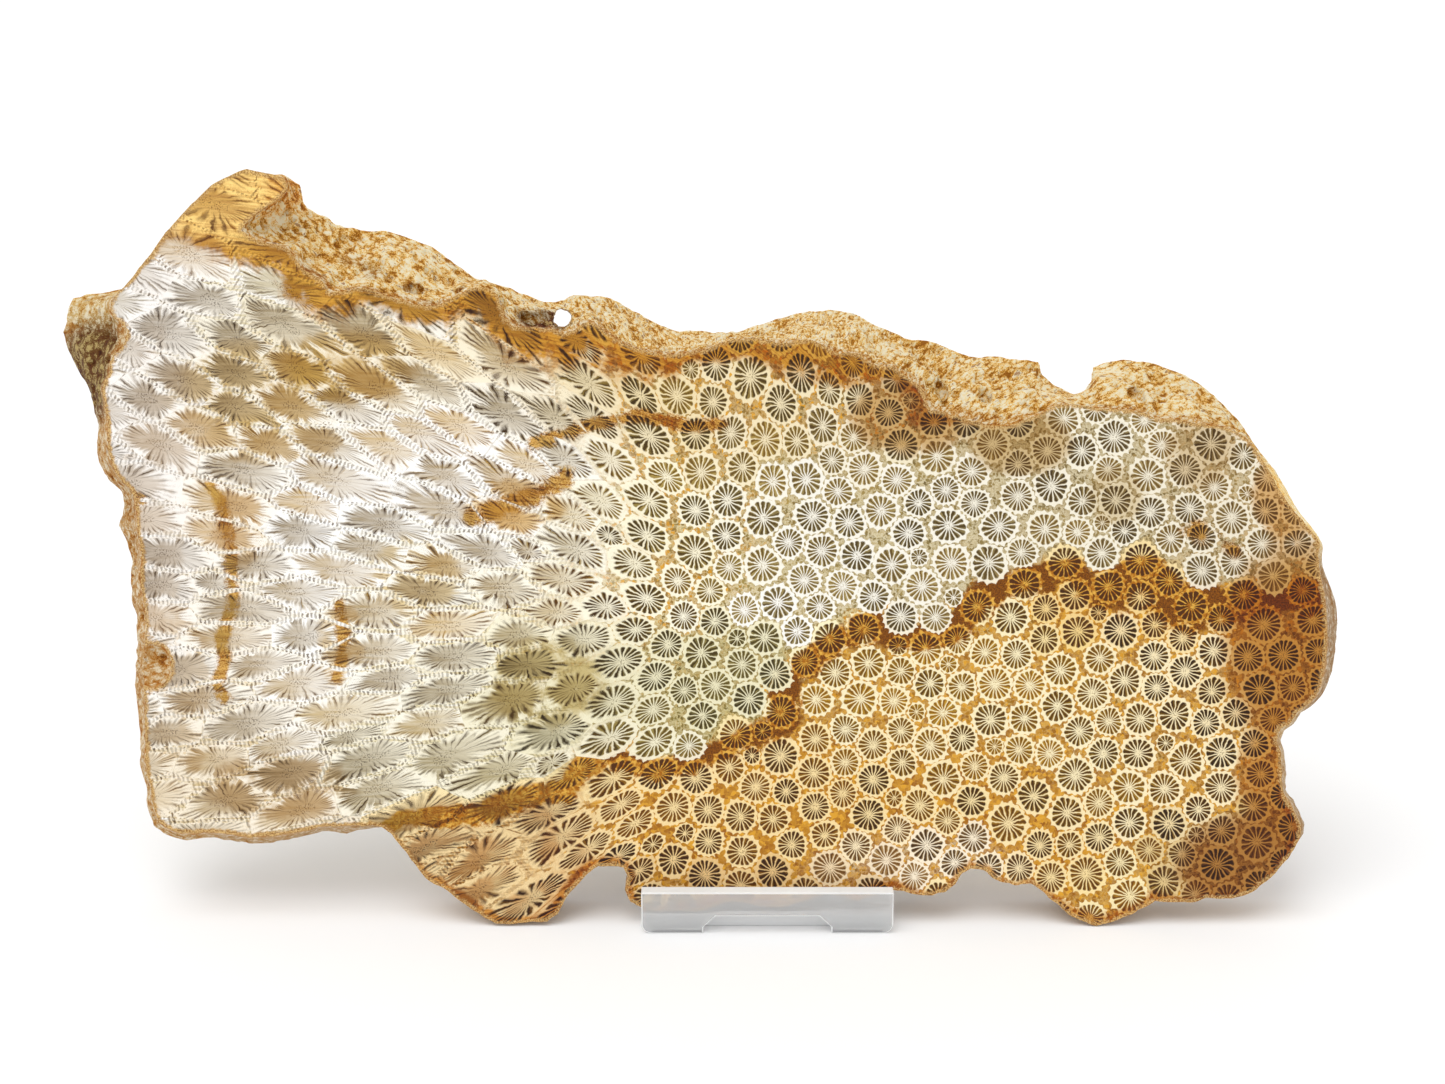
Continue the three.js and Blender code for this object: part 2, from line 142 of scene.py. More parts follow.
def pit_distance(x, y, z):
    """Distance to the nearest of one scattered point per unit cell."""
    point = np.stack(np.broadcast_arrays(x, y, z), axis=-1).astype(float)
    cell = np.floor(point)
    nearest = np.full(point.shape[:-1], 9.0)
    for corner in range(27):
        step = np.array([corner % 3 - 1, corner // 3 % 3 - 1, corner // 9 - 1])
        i, j, k = np.moveaxis(cell + step, -1, 0)
        jitter = np.stack([lattice(i, j, k), lattice(j, k, i + 31), lattice(k, i, j + 57)], axis=-1)
        gap = np.linalg.norm(cell + step + jitter - point, axis=-1)
        nearest = np.minimum(nearest, gap)
    return nearest


def smoothstep(low, high, value):
    share = np.clip((value - low) / (high - low), 0.0, 1.0)
    return share * share * (3 - 2 * share)


# ---- Polylines and outlines ---------------------------------------------------------------------

def line_gap(points, line):
    """Distance from each 2D point to a polyline, negative to the left of the way it runs."""
    line = np.array(line, float)
    nearest, side = np.full(len(points), FAR), np.zeros(len(points))
    for start, end in zip(line[:-1], line[1:]):
        along, offset = end - start, points - start
        share = np.clip(offset @ along / (along @ along), 0, 1)
        gap = np.linalg.norm(offset - share[:, None] * along, axis=1)
        closer = gap < nearest - 1e-6
        nearest = np.where(closer, gap, nearest)
        side = np.where(closer, along[1] * offset[:, 0] - along[0] * offset[:, 1], side)
    return nearest * np.sign(side)


def nearest_gap(points, others):
    """Distance from each point to the nearest of the others."""
    nearest = np.empty(len(points))
    for start in range(0, len(points), CHUNK):
        offset = points[start:start + CHUNK, None] - others[None]
        nearest[start:start + CHUNK] = np.linalg.norm(offset, axis=2).min(axis=1)
    return nearest


def inside_loops(points, starts, ends):
    """Which 2D points lie inside the closed outlines given by their edges."""
    inside = np.zeros(len(points), bool)
    for (ax, ay), (bx, by) in zip(starts, ends):
        if ay == by:
            continue
        crosses = (points[:, 1] < ay) != (points[:, 1] < by)
        at = ax + (points[:, 1] - ay) * (bx - ax) / (by - ay)
        inside ^= crosses & (points[:, 0] < at)
    return inside


# ---- How the coral grew -------------------------------------------------------------------------
# The corallites are round where the saw crossed them square on, at the middle and right, and are
# cut at a slant towards the left and the crest, where they look stretched away from the heart of
# the colony. The growth map pulls the slab's x and z in towards the heart, to a plane in which
# the corallites are all round.

HEART = np.array([6.0, 60.0])
STRETCH_START, STRETCH_END = 12.0, 78.0  # distances from the heart between which it builds up
STRETCH_MOST = 5.4  # on top of 1, straight to the left of the heart
STRETCH_STEP = 0.5
USUAL_REACH = 70.0  # from the heart to the skin, which turns angles into lengths there


def side_weight(angle):
    """How much of the stretch there is in a direction, as an angle from straight left."""
    up = smoothstep(math.radians(20), math.radians(80), angle)
    down = smoothstep(math.radians(15), math.radians(75), -angle)
    right = smoothstep(math.radians(95), math.radians(125), angle)
    return (1 - 0.88 * up) * (1 - down) * (1 - right)


def stretch(distance, angle):
    """How many times longer things are along the growth than on the growth plane."""
    build = np.clip((distance - STRETCH_START) / (STRETCH_END - STRETCH_START), 0, 1)
    return 1 + STRETCH_MOST * side_weight(angle) * build


def slant(points):
    """0 where the corallites were cut square on, 1 where they are stretched most."""
    return (stretch(*polar(points)) - 1) / STRETCH_MOST


def polar(points):
    """Distance from the heart, and the angle from straight left, upwards positive."""
    away = points - HEART
    return np.linalg.norm(away, axis=1), np.arctan2(away[:, 1], -away[:, 0])


def outwards(angle):
    """Unit vectors away from the heart."""
    return np.stack([-np.cos(angle), np.sin(angle)], axis=1)


def from_polar(distance, angle):
    return HEART + distance[:, None] * outwards(angle)


def to_growth(xz):
    """The slab's x and z to the growth plane."""
    distance, angle = polar(xz)
    steps = np.arange(0.0, distance.max() + STRETCH_STEP, STRETCH_STEP)
    pulled = np.zeros(len(xz))
    for start in steps:
        length = np.clip(distance - start, 0, STRETCH_STEP)
        pulled += length / stretch(start + STRETCH_STEP / 2, angle)
    return from_polar(pulled, angle)


def from_growth(pq):
    """The growth plane to the slab's x and z."""
    pulled, angle = polar(pq)
    distance = np.zeros(len(pq))
    left = pulled.copy()
    while left.max() > 1e-9 and distance.max() < 400:
        rate = stretch(distance + STRETCH_STEP / 2, angle)
        step = np.minimum(left, STRETCH_STEP / rate)
        distance += step * rate
        left -= step
    return from_polar(distance, angle)


def usual_radius(pq):
    """Corallites are smaller on the growth plane where it is pulled in, so they stay even sized."""
    distance, angle = polar(pq)
    return LARGE_RADIUS * (1 - 0.70 * side_weight(angle) * smoothstep(10, 40, distance))


def clearances(point, centres, radii):
    return np.linalg.norm(centres - point, axis=1) - radii


def spacing(centres):
    """The offset and the distance between every two centres; each is far from itself."""
    offset = centres[:, None] - centres[None]
    return offset, np.linalg.norm(offset, axis=2) + np.eye(len(centres)) * FAR


def push_apart(centres, radii, rounds):
    """Moves overlapping circles away from each other, a little at a time."""
    for _ in range(rounds):
        offset, gap = spacing(centres)
        overlap = np.clip(radii[:, None] + radii[None] + WALL_GAP - gap, 0, None)
        centres = centres + 0.3 * (offset / gap[..., None] * overlap[..., None]).sum(axis=1)
    return centres


def scatter_corallites(low, high, seed):
    """Centres and radii of corallites packed over a box of the growth plane, with buds between."""
    rng = np.random.default_rng(seed)
    centres = np.array([(low + high) / 2])
    radii = usual_radius(centres)
    for _ in range(5):
        points = rng.uniform(low, high, (4000, 2))
        sizes = usual_radius(points) * rng.uniform(0.84, 1.08, len(points))
        for point, size in zip(points, sizes):
            if clearances(point, centres, radii).min() > 0.7 * size:
                centres = np.vstack([centres, point])
                radii = np.append(radii, size)
        centres = push_apart(centres, radii, 12)
    _, gaps = spacing(centres)
    radii = np.minimum(radii, (gaps - radii[None] - 0.1).min(axis=1))
    kept = radii > 0.6 * usual_radius(centres)
    centres, radii, gaps = centres[kept], radii[kept], gaps[kept][:, kept]
    for i in range(len(radii)):
        room = (gaps[i] - radii).min() - BUD_GAP
        radii[i] = np.clip(room, radii[i], 1.28 * usual_radius(centres[i:i + 1])[0])
    for point in rng.uniform(low, high, (20000, 2)):
        room = clearances(point, centres, radii).min() - BUD_GAP
        least, most = BUD_SHARE * usual_radius(point[None])
        if room > least:
            centres = np.vstack([centres, point])
            radii = np.append(radii, min(room, most))
    return centres, radii


def clip_polygon(polygon, normal, limit):
    """Keeps the part of a convex polygon where point . normal <= limit."""
    kept = []
    for (a, b) in zip(polygon, np.roll(polygon, -1, axis=0)):
        side_a, side_b = a @ normal - limit, b @ normal - limit
        if side_a <= 0:
            kept.append(a)
        if side_a * side_b < 0:
            kept.append(a + (b - a) * side_a / (side_a - side_b))
    return np.array(kept)


class Colony:
    """The corallites of one sawn face and the cells round them."""

    def __init__(self, outline, seed):
        grown = to_growth(outline)
        self.centres, self.radii = scatter_corallites(
            grown.min(axis=0) - OUTER_MARGIN, grown.max(axis=0) + OUTER_MARGIN, seed)
        self.reach = self.radii + CELL_MARGIN
        rng = np.random.default_rng(seed + 1)
        self.phase = rng.uniform(0, 1, len(self.radii))
        self.places = from_growth(self.centres)
        slanting = slant(self.places)
        grown_up = self.radii > 0.7 * usual_radius(self.centres)
        septa = np.where(
            grown_up, rng.integers(15, 20, len(self.radii)), rng.integers(10, 13, len(self.radii)))
        self.petals = septa + np.round(11 * slanting)
        self.spine = np.round(2.4 * slanting) / SPINE_SEPTA
        self.focus = rng.uniform(-0.3, 0.3, len(self.radii)) * smoothstep(0.1, 0.5, slanting)
        self.chance = rng.uniform(0, 1, (len(self.radii), 3))
        self.neighbours = []
        self.edges = self.cell_edges()

    def radical(self, i, j):
        """The line that parts two cells, as a unit normal away from i and a limit."""
        between = self.centres[j] - self.centres[i]
        length = np.linalg.norm(between)
        power = (self.reach[i] ** 2 - self.reach[j] ** 2) / (2 * length)
        normal = between / length
        return normal, self.centres[i] @ normal + length / 2 + power

    def cell_edges(self):
        """Both ends of every cell's edges, on the growth plane; also finds the neighbours."""
        edges = []
        for i, centre in enumerate(self.centres):
            gap = np.linalg.norm(self.centres - centre, axis=1)
            near = [j for j in np.argsort(gap)[1:24] if gap[j] < 2 * CELL_REACH]
            cell = centre + CELL_REACH * np.array([[-1, -1], [1, -1], [1, 1], [-1, 1]])
            for j in near:
                cell = clip_polygon(cell, *self.radical(i, j))
            self.neighbours.append(near[:12])
            edges += list(zip(cell, np.roll(cell, -1, axis=0)))
        return np.array(edges)

    def owner(self, grown):
        """The corallite in whose cell each point of the growth plane lies."""
        result = np.empty(len(grown), int)
        for start in range(0, len(grown), CHUNK):
            offset = grown[start:start + CHUNK, None] - self.centres[None]
            power = (offset ** 2).sum(axis=2) - self.reach[None] ** 2
            result[start:start + CHUNK] = power.argmin(axis=1)
        return result

    def wall_values(self, grown, owner, rate, spread):
        """Each point's gap to the nearest wall of its cell, first on the growth plane.

        Then the same on the stone, where rate and spread say how much longer and wider things are,
        with a share beside it: 1 where that wall runs along the growth and 0 where across.
        """
        nearest, real = np.full(len(grown), CELL_REACH), np.full(len(grown), FAR)
        facing = np.zeros(len(grown))
        outward = outwards(polar(grown)[1])
        for i in np.unique(owner):
            mine = np.nonzero(owner == i)[0]
            for j in self.neighbours[i]:
                normal, limit = self.radical(i, j)
                gap = np.clip(limit - grown[mine] @ normal, 0, None)
                nearest[mine] = np.minimum(nearest[mine], gap)
                ahead = (outward[mine] @ normal) ** 2
                lengthwise, widthwise = ahead / rate[mine] ** 2, (1 - ahead) / spread[mine] ** 2
                gap = gap / np.sqrt(lengthwise + widthwise)
                closer = gap < real[mine]
                real[mine] = np.where(closer, gap, real[mine])
                facing[mine] = np.where(closer, widthwise / (lengthwise + widthwise), facing[mine])
        return nearest, np.stack([real, facing, np.zeros(len(grown))], axis=1)


# ---- The slab's skin ----------------------------------------------------------------------------

def merged_mesh(node):
    """A CAD node's vertices, with copies merged, and its triangles."""
    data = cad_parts[node].data
    data.calc_loop_triangles()
    points = np.array([v.co for v in data.vertices])
    triangles = np.array([t.vertices for t in data.loop_triangles])
    rounded = np.round(points / (0.0005 * MM)).astype(int)
    _, first, copy_of = np.unique(rounded, axis=0, return_index=True, return_inverse=True)
    return points[first], proper(copy_of.reshape(-1)[triangles])


def sides(triangles):
    """The triangles' sides, each as its lower and higher point number."""
    corners = np.concatenate([triangles[:, [0, 1]], triangles[:, [1, 2]], triangles[:, [2, 0]]])
    return np.sort(corners, axis=1)


def only_used(points, triangles):
    """Drops the points that no triangle uses; also says which ones stay."""
    used, index = np.unique(triangles, return_inverse=True)
    return points[used], index.reshape(-1, 3), used


def proper(triangles):
    """Only the triangles with three different corners."""
    a, b, c = triangles.T
    return triangles[(a != b) & (b != c) & (c != a)]


def halve_edges(points, triangles):
    """Splits each triangle into four at the middles of its edges."""
    ends, index = np.unique(sides(triangles), axis=0, return_inverse=True)
    middles = points[ends].mean(axis=1)
    ab, bc, ca = (index.reshape(3, -1) + len(points))
    a, b, c = triangles.T
    parts = [(a, ab, ca), (ab, b, bc), (ca, bc, c), (ab, bc, ca)]
    return np.vstack([points, middles]), np.concatenate([np.stack(p, axis=1) for p in parts])


def edge_use(triangles):
    """Each edge once, and how many triangles use it."""
    return np.unique(sides(triangles), axis=0, return_counts=True)


def vertex_normals(points, triangles):
    """Outward normals. The slab's axes are left-handed, so the cross product is turned round."""
    a, b, c = (points[triangles[:, i]] for i in range(3))
    face = np.cross(c - a, b - a)
    normals = np.zeros_like(points)
    for i in range(3):
        np.add.at(normals, triangles[:, i], face)
    return normals / np.maximum(np.linalg.norm(normals, axis=1, keepdims=True), 1e-12)


def relax(points, triangles, moving, rounds):
    """Moves each moving point half of the way to the middle of its neighbours."""
    edges, _ = edge_use(triangles)
    degree = np.zeros(len(points))
    np.add.at(degree, edges, 1)
    for _ in range(rounds):
        total = np.zeros_like(points)
        np.add.at(total, edges[:, 0], points[edges[:, 1]])
        np.add.at(total, edges[:, 1], points[edges[:, 0]])
        middle = total / np.maximum(degree, 1)[:, None]
        points = np.where(moving[:, None], 0.5 * (points + middle), points)
    return points


class Skin:
    """The natural skin between the two sawn faces, with its fine relief."""

    def __init__(self):
        points, triangles = merged_mesh("coral_slice")
        points = to_slab(points)
        depth = points[triangles][:, :, 2]
        on_front = (depth < FLAT).all(axis=1)
        on_back = (depth > THICKNESS - FLAT).all(axis=1)
        triangles = triangles[~on_front & ~on_back]
        for _ in range(SKIN_SPLITS):
            points, triangles = halve_edges(points, triangles)
        self.points, self.triangles, _ = only_used(points, triangles)
        self.find_rims()
        self.add_relief()

    def find_rims(self):
        """The open edges where the skin meets the two sawn faces."""
        edges, count = edge_use(self.triangles)
        rim = edges[count == 1]
        front = (self.points[rim][:, :, 2] < FLAT).all(axis=1)
        self.front_rim, self.back_rim = rim[front], rim[~front]
        self.on_rim = np.zeros(len(self.points), bool)
        self.on_rim[rim] = True

    def add_relief(self):
        """Lumps, ribs along the growth, pits and grain, fading out at the sawn edges."""
        free = ~self.on_rim
        base = relax(self.points, self.triangles, free, 3)
        x, z, depth = base.T
        normals = vertex_normals(base, self.triangles)
        _, angle = polar(base[:, :2])
        across = angle * USUAL_REACH
        crust = crust_share(x, z)
        lumps = octaves(x / 5.0, z / 5.0, depth / 4.0, 2)
        ribs = octaves(across / 1.1, depth / 6.0, z / 12.0, 2)
        grain = octaves(x / 1.3, z / 1.3, depth / 1.3, 2)
        pits = smoothstep(0.42, 0.16, pit_distance(x / 2.6, z / 2.6, depth / 2.6))
        pits = pits * (noise(x / 9.0, z / 9.0, depth / 9.0) > -0.35)
        height = LUMP * lumps + RIB * ribs + GRAIN * grain - PIT * pits
        height = height * (0.35 + 0.65 * crust)
        # The heights, kept as relief, also lay painted shade into the crust's hollows and painted
        # highlights on its knobs.
        self.relief = np.clip(0.5 + 0.55 * height, 0, 1)
        rim_gap = nearest_gap(self.points, self.points[self.on_rim])
        height = height * smoothstep(0.0, RELIEF_FADE, rim_gap)
        moved = base + normals * height[:, None]
        moved[:, 2] = np.clip(moved[:, 2], FACE_ROOM, THICKNESS - FACE_ROOM)
        wobble = RIM_WOBBLE * noise(x / 1.4, z / 1.4, depth + 5.0)
        flat = normals[:, :2]
        rim_shift = flat / np.maximum(np.linalg.norm(flat, axis=1), 1e-6)[:, None]
        moved[self.on_rim] = self.points[self.on_rim]
        moved[self.on_rim, :2] += (rim_shift * wobble[:, None])[self.on_rim]
        self.points = keep_clear(moved)

    def run(self):
        """How far from the heart each point is, how far round it, and its depth."""
        away = self.points[:, :2] - HEART
        around = np.arctan2(away[:, 0], away[:, 1]) * USUAL_REACH
        return np.stack([np.linalg.norm(away, axis=1), around, self.points[:, 2]], axis=1)


def keep_clear(points):
    """Lifts what would sink into the table or the stand's base."""
    over_base = np.abs(points[:, 0] - STAND_MIDDLE) < BASE_REACH
    floor = np.where(over_base, SHEET + BASE_CLEARANCE, TABLE_CLEARANCE)
    lowest = (floor + points[:, 2] * math.sin(LEAN)) / math.cos(LEAN)
    lifted = points.copy()
    lifted[:, 1] = np.maximum(points[:, 1], lowest)
    return lifted


def crust_share(x, z):
    """1 on the crest's rough crust, down to 0 on the smoother flanks and foot."""
    crest = smoothstep(88.0, 100.0, z) * smoothstep(-112.0, -104.0, x)
    return np.maximum(crest, 0.55 * smoothstep(-100.0, -108.0, x))


# ---- The sawn faces -----------------------------------------------------------------------------

class SawnFace:
    """A flat face, cut into triangles that follow the corallites' cells."""

    def __init__(self, skin, rim, depth, colony, shrink):
        self.depth = depth
        self.colony = colony
        self.shrink = shrink
        self.rim_index = np.unique(rim)
        place = {vertex: i for i, vertex in enumerate(self.rim_index)}
        self.rim_edges = np.array([[place[a], place[b]] for a, b in rim])
        self.rim_points = skin.points[self.rim_index][:, :2]
        self.starts = self.rim_points[self.rim_edges[:, 0]]
        self.ends = self.rim_points[self.rim_edges[:, 1]]
        self.triangulate()

    def cell_walls(self):
        """The cells' edges inside the outline; one that crosses it ends at its nearest point."""
        low, high = self.rim_points.min(axis=0), self.rim_points.max(axis=0)
        walls = from_growth(self.colony.edges.reshape(-1, 2)).reshape(-1, 2, 2)
        walls = HEART + (walls - HEART) / self.shrink
        walls = walls[((walls > low) & (walls < high)).all(axis=2).any(axis=1)]
        inside = inside_loops(walls.reshape(-1, 2), self.starts, self.ends).reshape(-1, 2)
        points, edges, known = [], [], {}

        def point_index(point):
            key = tuple(np.round(point, 3))
            if key not in known:
                known[key] = len(self.rim_points) + len(points)
                points.append(point)
            return known[key]

        for (a, b), (a_in, b_in) in zip(walls, inside):
            if not (a_in or b_in):
                continue
            ends = []
            for point, is_in, other in ((a, a_in, b), (b, b_in, a)):
                gap = np.linalg.norm(self.rim_points - point, axis=1)
                if is_in and gap.min() > WALL_ROOM:
                    ends.append(point_index(point))
                elif is_in:
                    ends.append(int(gap.argmin()))
                else:
                    crossing = self.crossing(other, point)
                    ends.append(int(np.linalg.norm(self.rim_points - crossing, axis=1).argmin()))
            if ends[0] != ends[1]:
                edges.append(tuple(ends))
        return np.array(points), edges

    def crossing(self, inner, outer):
        """Where the way out from an inner point first meets the outline."""
        way = outer - inner
        along = self.ends - self.starts
        offset = self.starts - inner
        cross = way[0] * along[:, 1] - way[1] * along[:, 0]
        cross = np.where(np.abs(cross) < 1e-12, 1e-12, cross)
        share = (offset[:, 0] * along[:, 1] - offset[:, 1] * along[:, 0]) / cross
        place = (offset[:, 0] * way[1] - offset[:, 1] * way[0]) / cross
        share = np.where((place >= 0) & (place <= 1) & (share > 0), share, 9.0)
        return inner + way * min(share.min(), 1.0)

    def edge_gap(self, points):
        """Distance to the outline, by the ends and middles of its short edges."""
        return nearest_gap(points, np.vstack([self.starts, (self.starts + self.ends) / 2]))

    def triangulate(self):
        """Cuts the face along its outline and the cells' walls, with a loose grid of points."""
        walls, wall_edges = self.cell_walls()
        low, high = self.rim_points.min(axis=0), self.rim_points.max(axis=0)
        x, z = np.meshgrid(
            np.arange(low[0], high[0], GRID_STEP), np.arange(low[1], high[1], GRID_STEP))
        grid = np.stack([x.ravel(), z.ravel()], axis=1)
        grid[:, 0] += 0.3 * GRID_STEP * noise(grid[:, 0], grid[:, 1], 3.0)
        grid[:, 1] += 0.3 * GRID_STEP * noise(grid[:, 0], grid[:, 1], 8.0)
        grid = grid[inside_loops(grid, self.starts, self.ends)]
        grid = grid[self.edge_gap(grid) > GRID_ROOM]
        every = np.vstack([self.rim_points, walls, grid])
        edges = [tuple(e) for e in self.rim_edges.tolist()] + wall_edges
        result = delaunay_2d_cdt([Vector(p) for p in every], edges, [], 0, 1e-6, True)
        points = np.array([tuple(p) for p in result[0]])
        triangles = np.array(result[2])
        middles = points[triangles].mean(axis=1)
        triangles = triangles[inside_loops(middles, self.starts, self.ends)]
        on_rim = {
            new: self.rim_index[min(old)] for new, old in enumerate(result[3])
            if old and min(old) < len(self.rim_index)
        }
        triangles = join_splits(points, triangles, on_rim)
        self.points, self.triangles, used = only_used(points, triangles)
        self.rim_of = {new: on_rim[old] for new, old in enumerate(used.tolist()) if old in on_rim}

    def grown(self, points):
        """Points of this face on the growth plane; the corallites spread as they go back."""
        return to_growth(HEART + (points - HEART) * self.shrink)

    def layers(self):
        """What the corners of the triangles carry for the material, by name."""
        colony, corners = self.colony, self.triangles.ravel()
        owner = np.repeat(colony.owner(self.grown(self.points[self.triangles].mean(axis=1))), 3)
        grown = self.grown(self.points)[corners]
        local = (grown - colony.centres[owner]) / colony.radii[owner][:, None]
        outward = outwards(polar(colony.centres[owner])[1])
        sideways = outward[:, ::-1] * np.array([1, -1])
        distance, angle = polar(self.points)
        pulled = np.maximum(polar(grown)[0], 1e-6)
        spread = np.maximum(distance[corners] * self.shrink / pulled, 1.0)
        wall, walls = colony.wall_values(grown, owner, stretch(distance, angle)[corners], spread)
        along = (local * outward).sum(axis=1) - colony.focus[owner]
        kind = np.stack([colony.phase, colony.petals, colony.spine, colony.radii], axis=1)
        run = np.stack([distance, angle * np.maximum(distance, 20.0), slant(self.points)], axis=1)
        golden = (band_depth(colony.places) > 0).astype(float)
        septa, chamber = cell_tints(colony.places, golden, colony.chance)
        stain, rim_tint = stains(self.points, self.edge_gap(self.points))
        return {
            "place": np.stack([along, (local * sideways).sum(axis=1), wall], axis=1),
            "walls": walls,
            "kind": kind[owner],
            "run": run[corners],
            "stain": stain[corners],
            "rim_tint": rim_tint[corners],
            "septa_tint": septa[owner],
            "chamber_tint": chamber[owner],
            "ground_tint": ground_tints(self.points)[corners],
            "wash": washes(self.points)[corners],
        }


def join_splits(points, triangles, on_rim):
    """Joins each point that splits an edge of the outline to that edge's nearer end.

    A wall that touches the outline leaves such points, and the skin has none there.
    """
    edges, count = edge_use(triangles)
    border = edges[count == 1]
    for split in sorted(set(border.ravel().tolist()) - set(on_rim)):
        ends = set(border[(border == split).any(axis=1)].ravel().tolist()) - {split}
        nearer = min(ends, key=lambda end: np.linalg.norm(points[end] - points[split]))
        triangles[triangles == split] = nearer
        border[border == split] = nearer
    return proper(triangles)


# ---- Stains and colour zones of the sawn faces --------------------------------------------------

# The upper edge of the dark band between the white coral above and the golden coral below.
BAND = [
    (-66, 19), (-60, 23.2), (-44, 24.8), (-38.6, 27.4), (-27.9, 29.6), (-25.2, 33.8), (-18.2, 37.6),
    (-14.5, 34.9), (-7.5, 33.3), (3.2, 37), (9.6, 40.3), (15, 43), (13.4, 47.8), (16, 51.6),
    (20.9, 55.3), (30.7, 62.2), (36, 63.2), (38.8, 61.1), (48.9, 60.6), (51.6, 64.8), (54.3, 68.6),
    (60.2, 70.8), (70.9, 73.4), (76, 73.9), (79.2, 69.8), (86.8, 74.3), (92.1, 73.9), (97, 68.3),
    (103.3, 68.1), (112.6, 69.4), (132, 71),
]
# How thick the band is along x.
BAND_WIDTH = [
    (-66, 2.5), (-45, 4.5), (-25, 5), (-8, 4), (8, 4), (17, 6), (28, 4.5), (38, 6), (50, 5),
    (60, 6), (75, 5), (84, 8), (95, 9), (105, 8), (132, 8),
]
# Ochre veins: the line, then half of its width.
VEINS = [
    ([(-33.2, 96.4), (-22.5, 100.2), (-14.5, 101.8), (-10.2, 102.3), (-2.7, 100.2),
      (4.8, 100.7)], 1.5),
    ([(-46, 82), (-38, 84.5), (-34.3, 85.7), (-30, 87.9), (-26.8, 90.6)], 2.0),
    ([(-97.8, 88), (-95.9, 85.8), (-93.7, 75.2), (-93.8, 63.4), (-95.9, 56.9), (-94.8, 53.2),
      (-97, 48.9), (-94.8, 45.6)], 1.5),
    ([(-72.3, 64.3), (-71, 58), (-72.8, 50.1)], 1.5),
    ([(98.5, 79.2), (100, 78.6)], 2.4),
    ([(105.5, 76), (107, 75)], 1.6),
    ([(-112.4, 86.5), (-111.6, 85.4)], 1.2),
]


def band_depth(points):
    """Distance below the band's upper edge; negative above it."""
    return line_gap(points, BAND)


def vein_depth(points):
    """Distance to the nearest vein's middle, in half widths of the vein."""
    return np.min([abs(line_gap(points, line)) / half_width for line, half_width in VEINS], axis=0)


def blob(points, middle, size, soft=0.3):
    """1 inside an ellipse, fading to 0 outside it."""
    away = np.linalg.norm((points - np.array(middle)) / np.array(size), axis=1)
    return smoothstep(1 + soft, 1 - soft, away)


def colour(text):
    """An sRGB hex colour as linear red, green and blue."""
    level = np.array([int(text[i:i + 2], 16) for i in (0, 2, 4)]) / 255
    return np.where(level <= 0.04045, level / 12.92, ((level + 0.055) / 1.055) ** 2.4)


def laid_over(tint, layers):
    """A tint for each point, with colours laid over it in turn, each by its own weight."""
    for weight, text in layers:
        tint = tint + (colour(text) - tint) * weight[:, None]
    return tint


# Smoky and rusty places: the middle, half width and height, colour and strength.
WASHES = [
    ((121, 56), (17, 22), "cc9c3f", 0.9),
    ((118, 30), (11, 12), "d0a04c", 0.9),
    ((110, 12), (15, 11), "c09043", 0.9),
    ((42, 102), (13, 8), "c89a3b", 0.8),
    ((64, 97), (11, 7), "c8a867", 0.8),
    ((83, 86), (6, 7), "d0b882", 0.6),
    ((100, 95), (8, 8), "ccac67", 0.6),
    ((117, 86), (7, 9), "d4a03b", 0.8),
    ((-31, 49), (13, 10), "c4b070", 0.8),
    ((-90, 108), (18, 10), "d0b26c", 0.75),
    ((-70, 112), (14, 8), "cca84c", 0.8),
    ((-86, 97), (16, 5), "d4b675", 0.7),
    ((-37, 84), (11, 6), "dcb455", 0.7),
    ((-57, 70), (10, 9), "e0c47e", 0.65),
    ((-92, 80), (6, 9), "d0ac63", 0.65),
    ((-72, 57), (5, 10), "e0bc67", 0.6),
    ((-109, 90), (7, 34), "e0d4c5", 0.6),
    ((-104, 46), (7, 20), "e0caa6", 0.6),
    ((-84, 28), (16, 7), "c0a063", 0.75),
    ((-42, 12), (22, 16), "dca03f", 0.5),
]


# A zone: its weight, middle, half width and height, and how soft its edge is; then the colours of
# the septa, chambers and ground, how strongly the chambers show, and how much gilt the ground has.
# The first zone of each list lies weakly everywhere.
ZONE_WANDER = 9.0  # how far off a corallite may look up its zone, so that zones mix at their edges

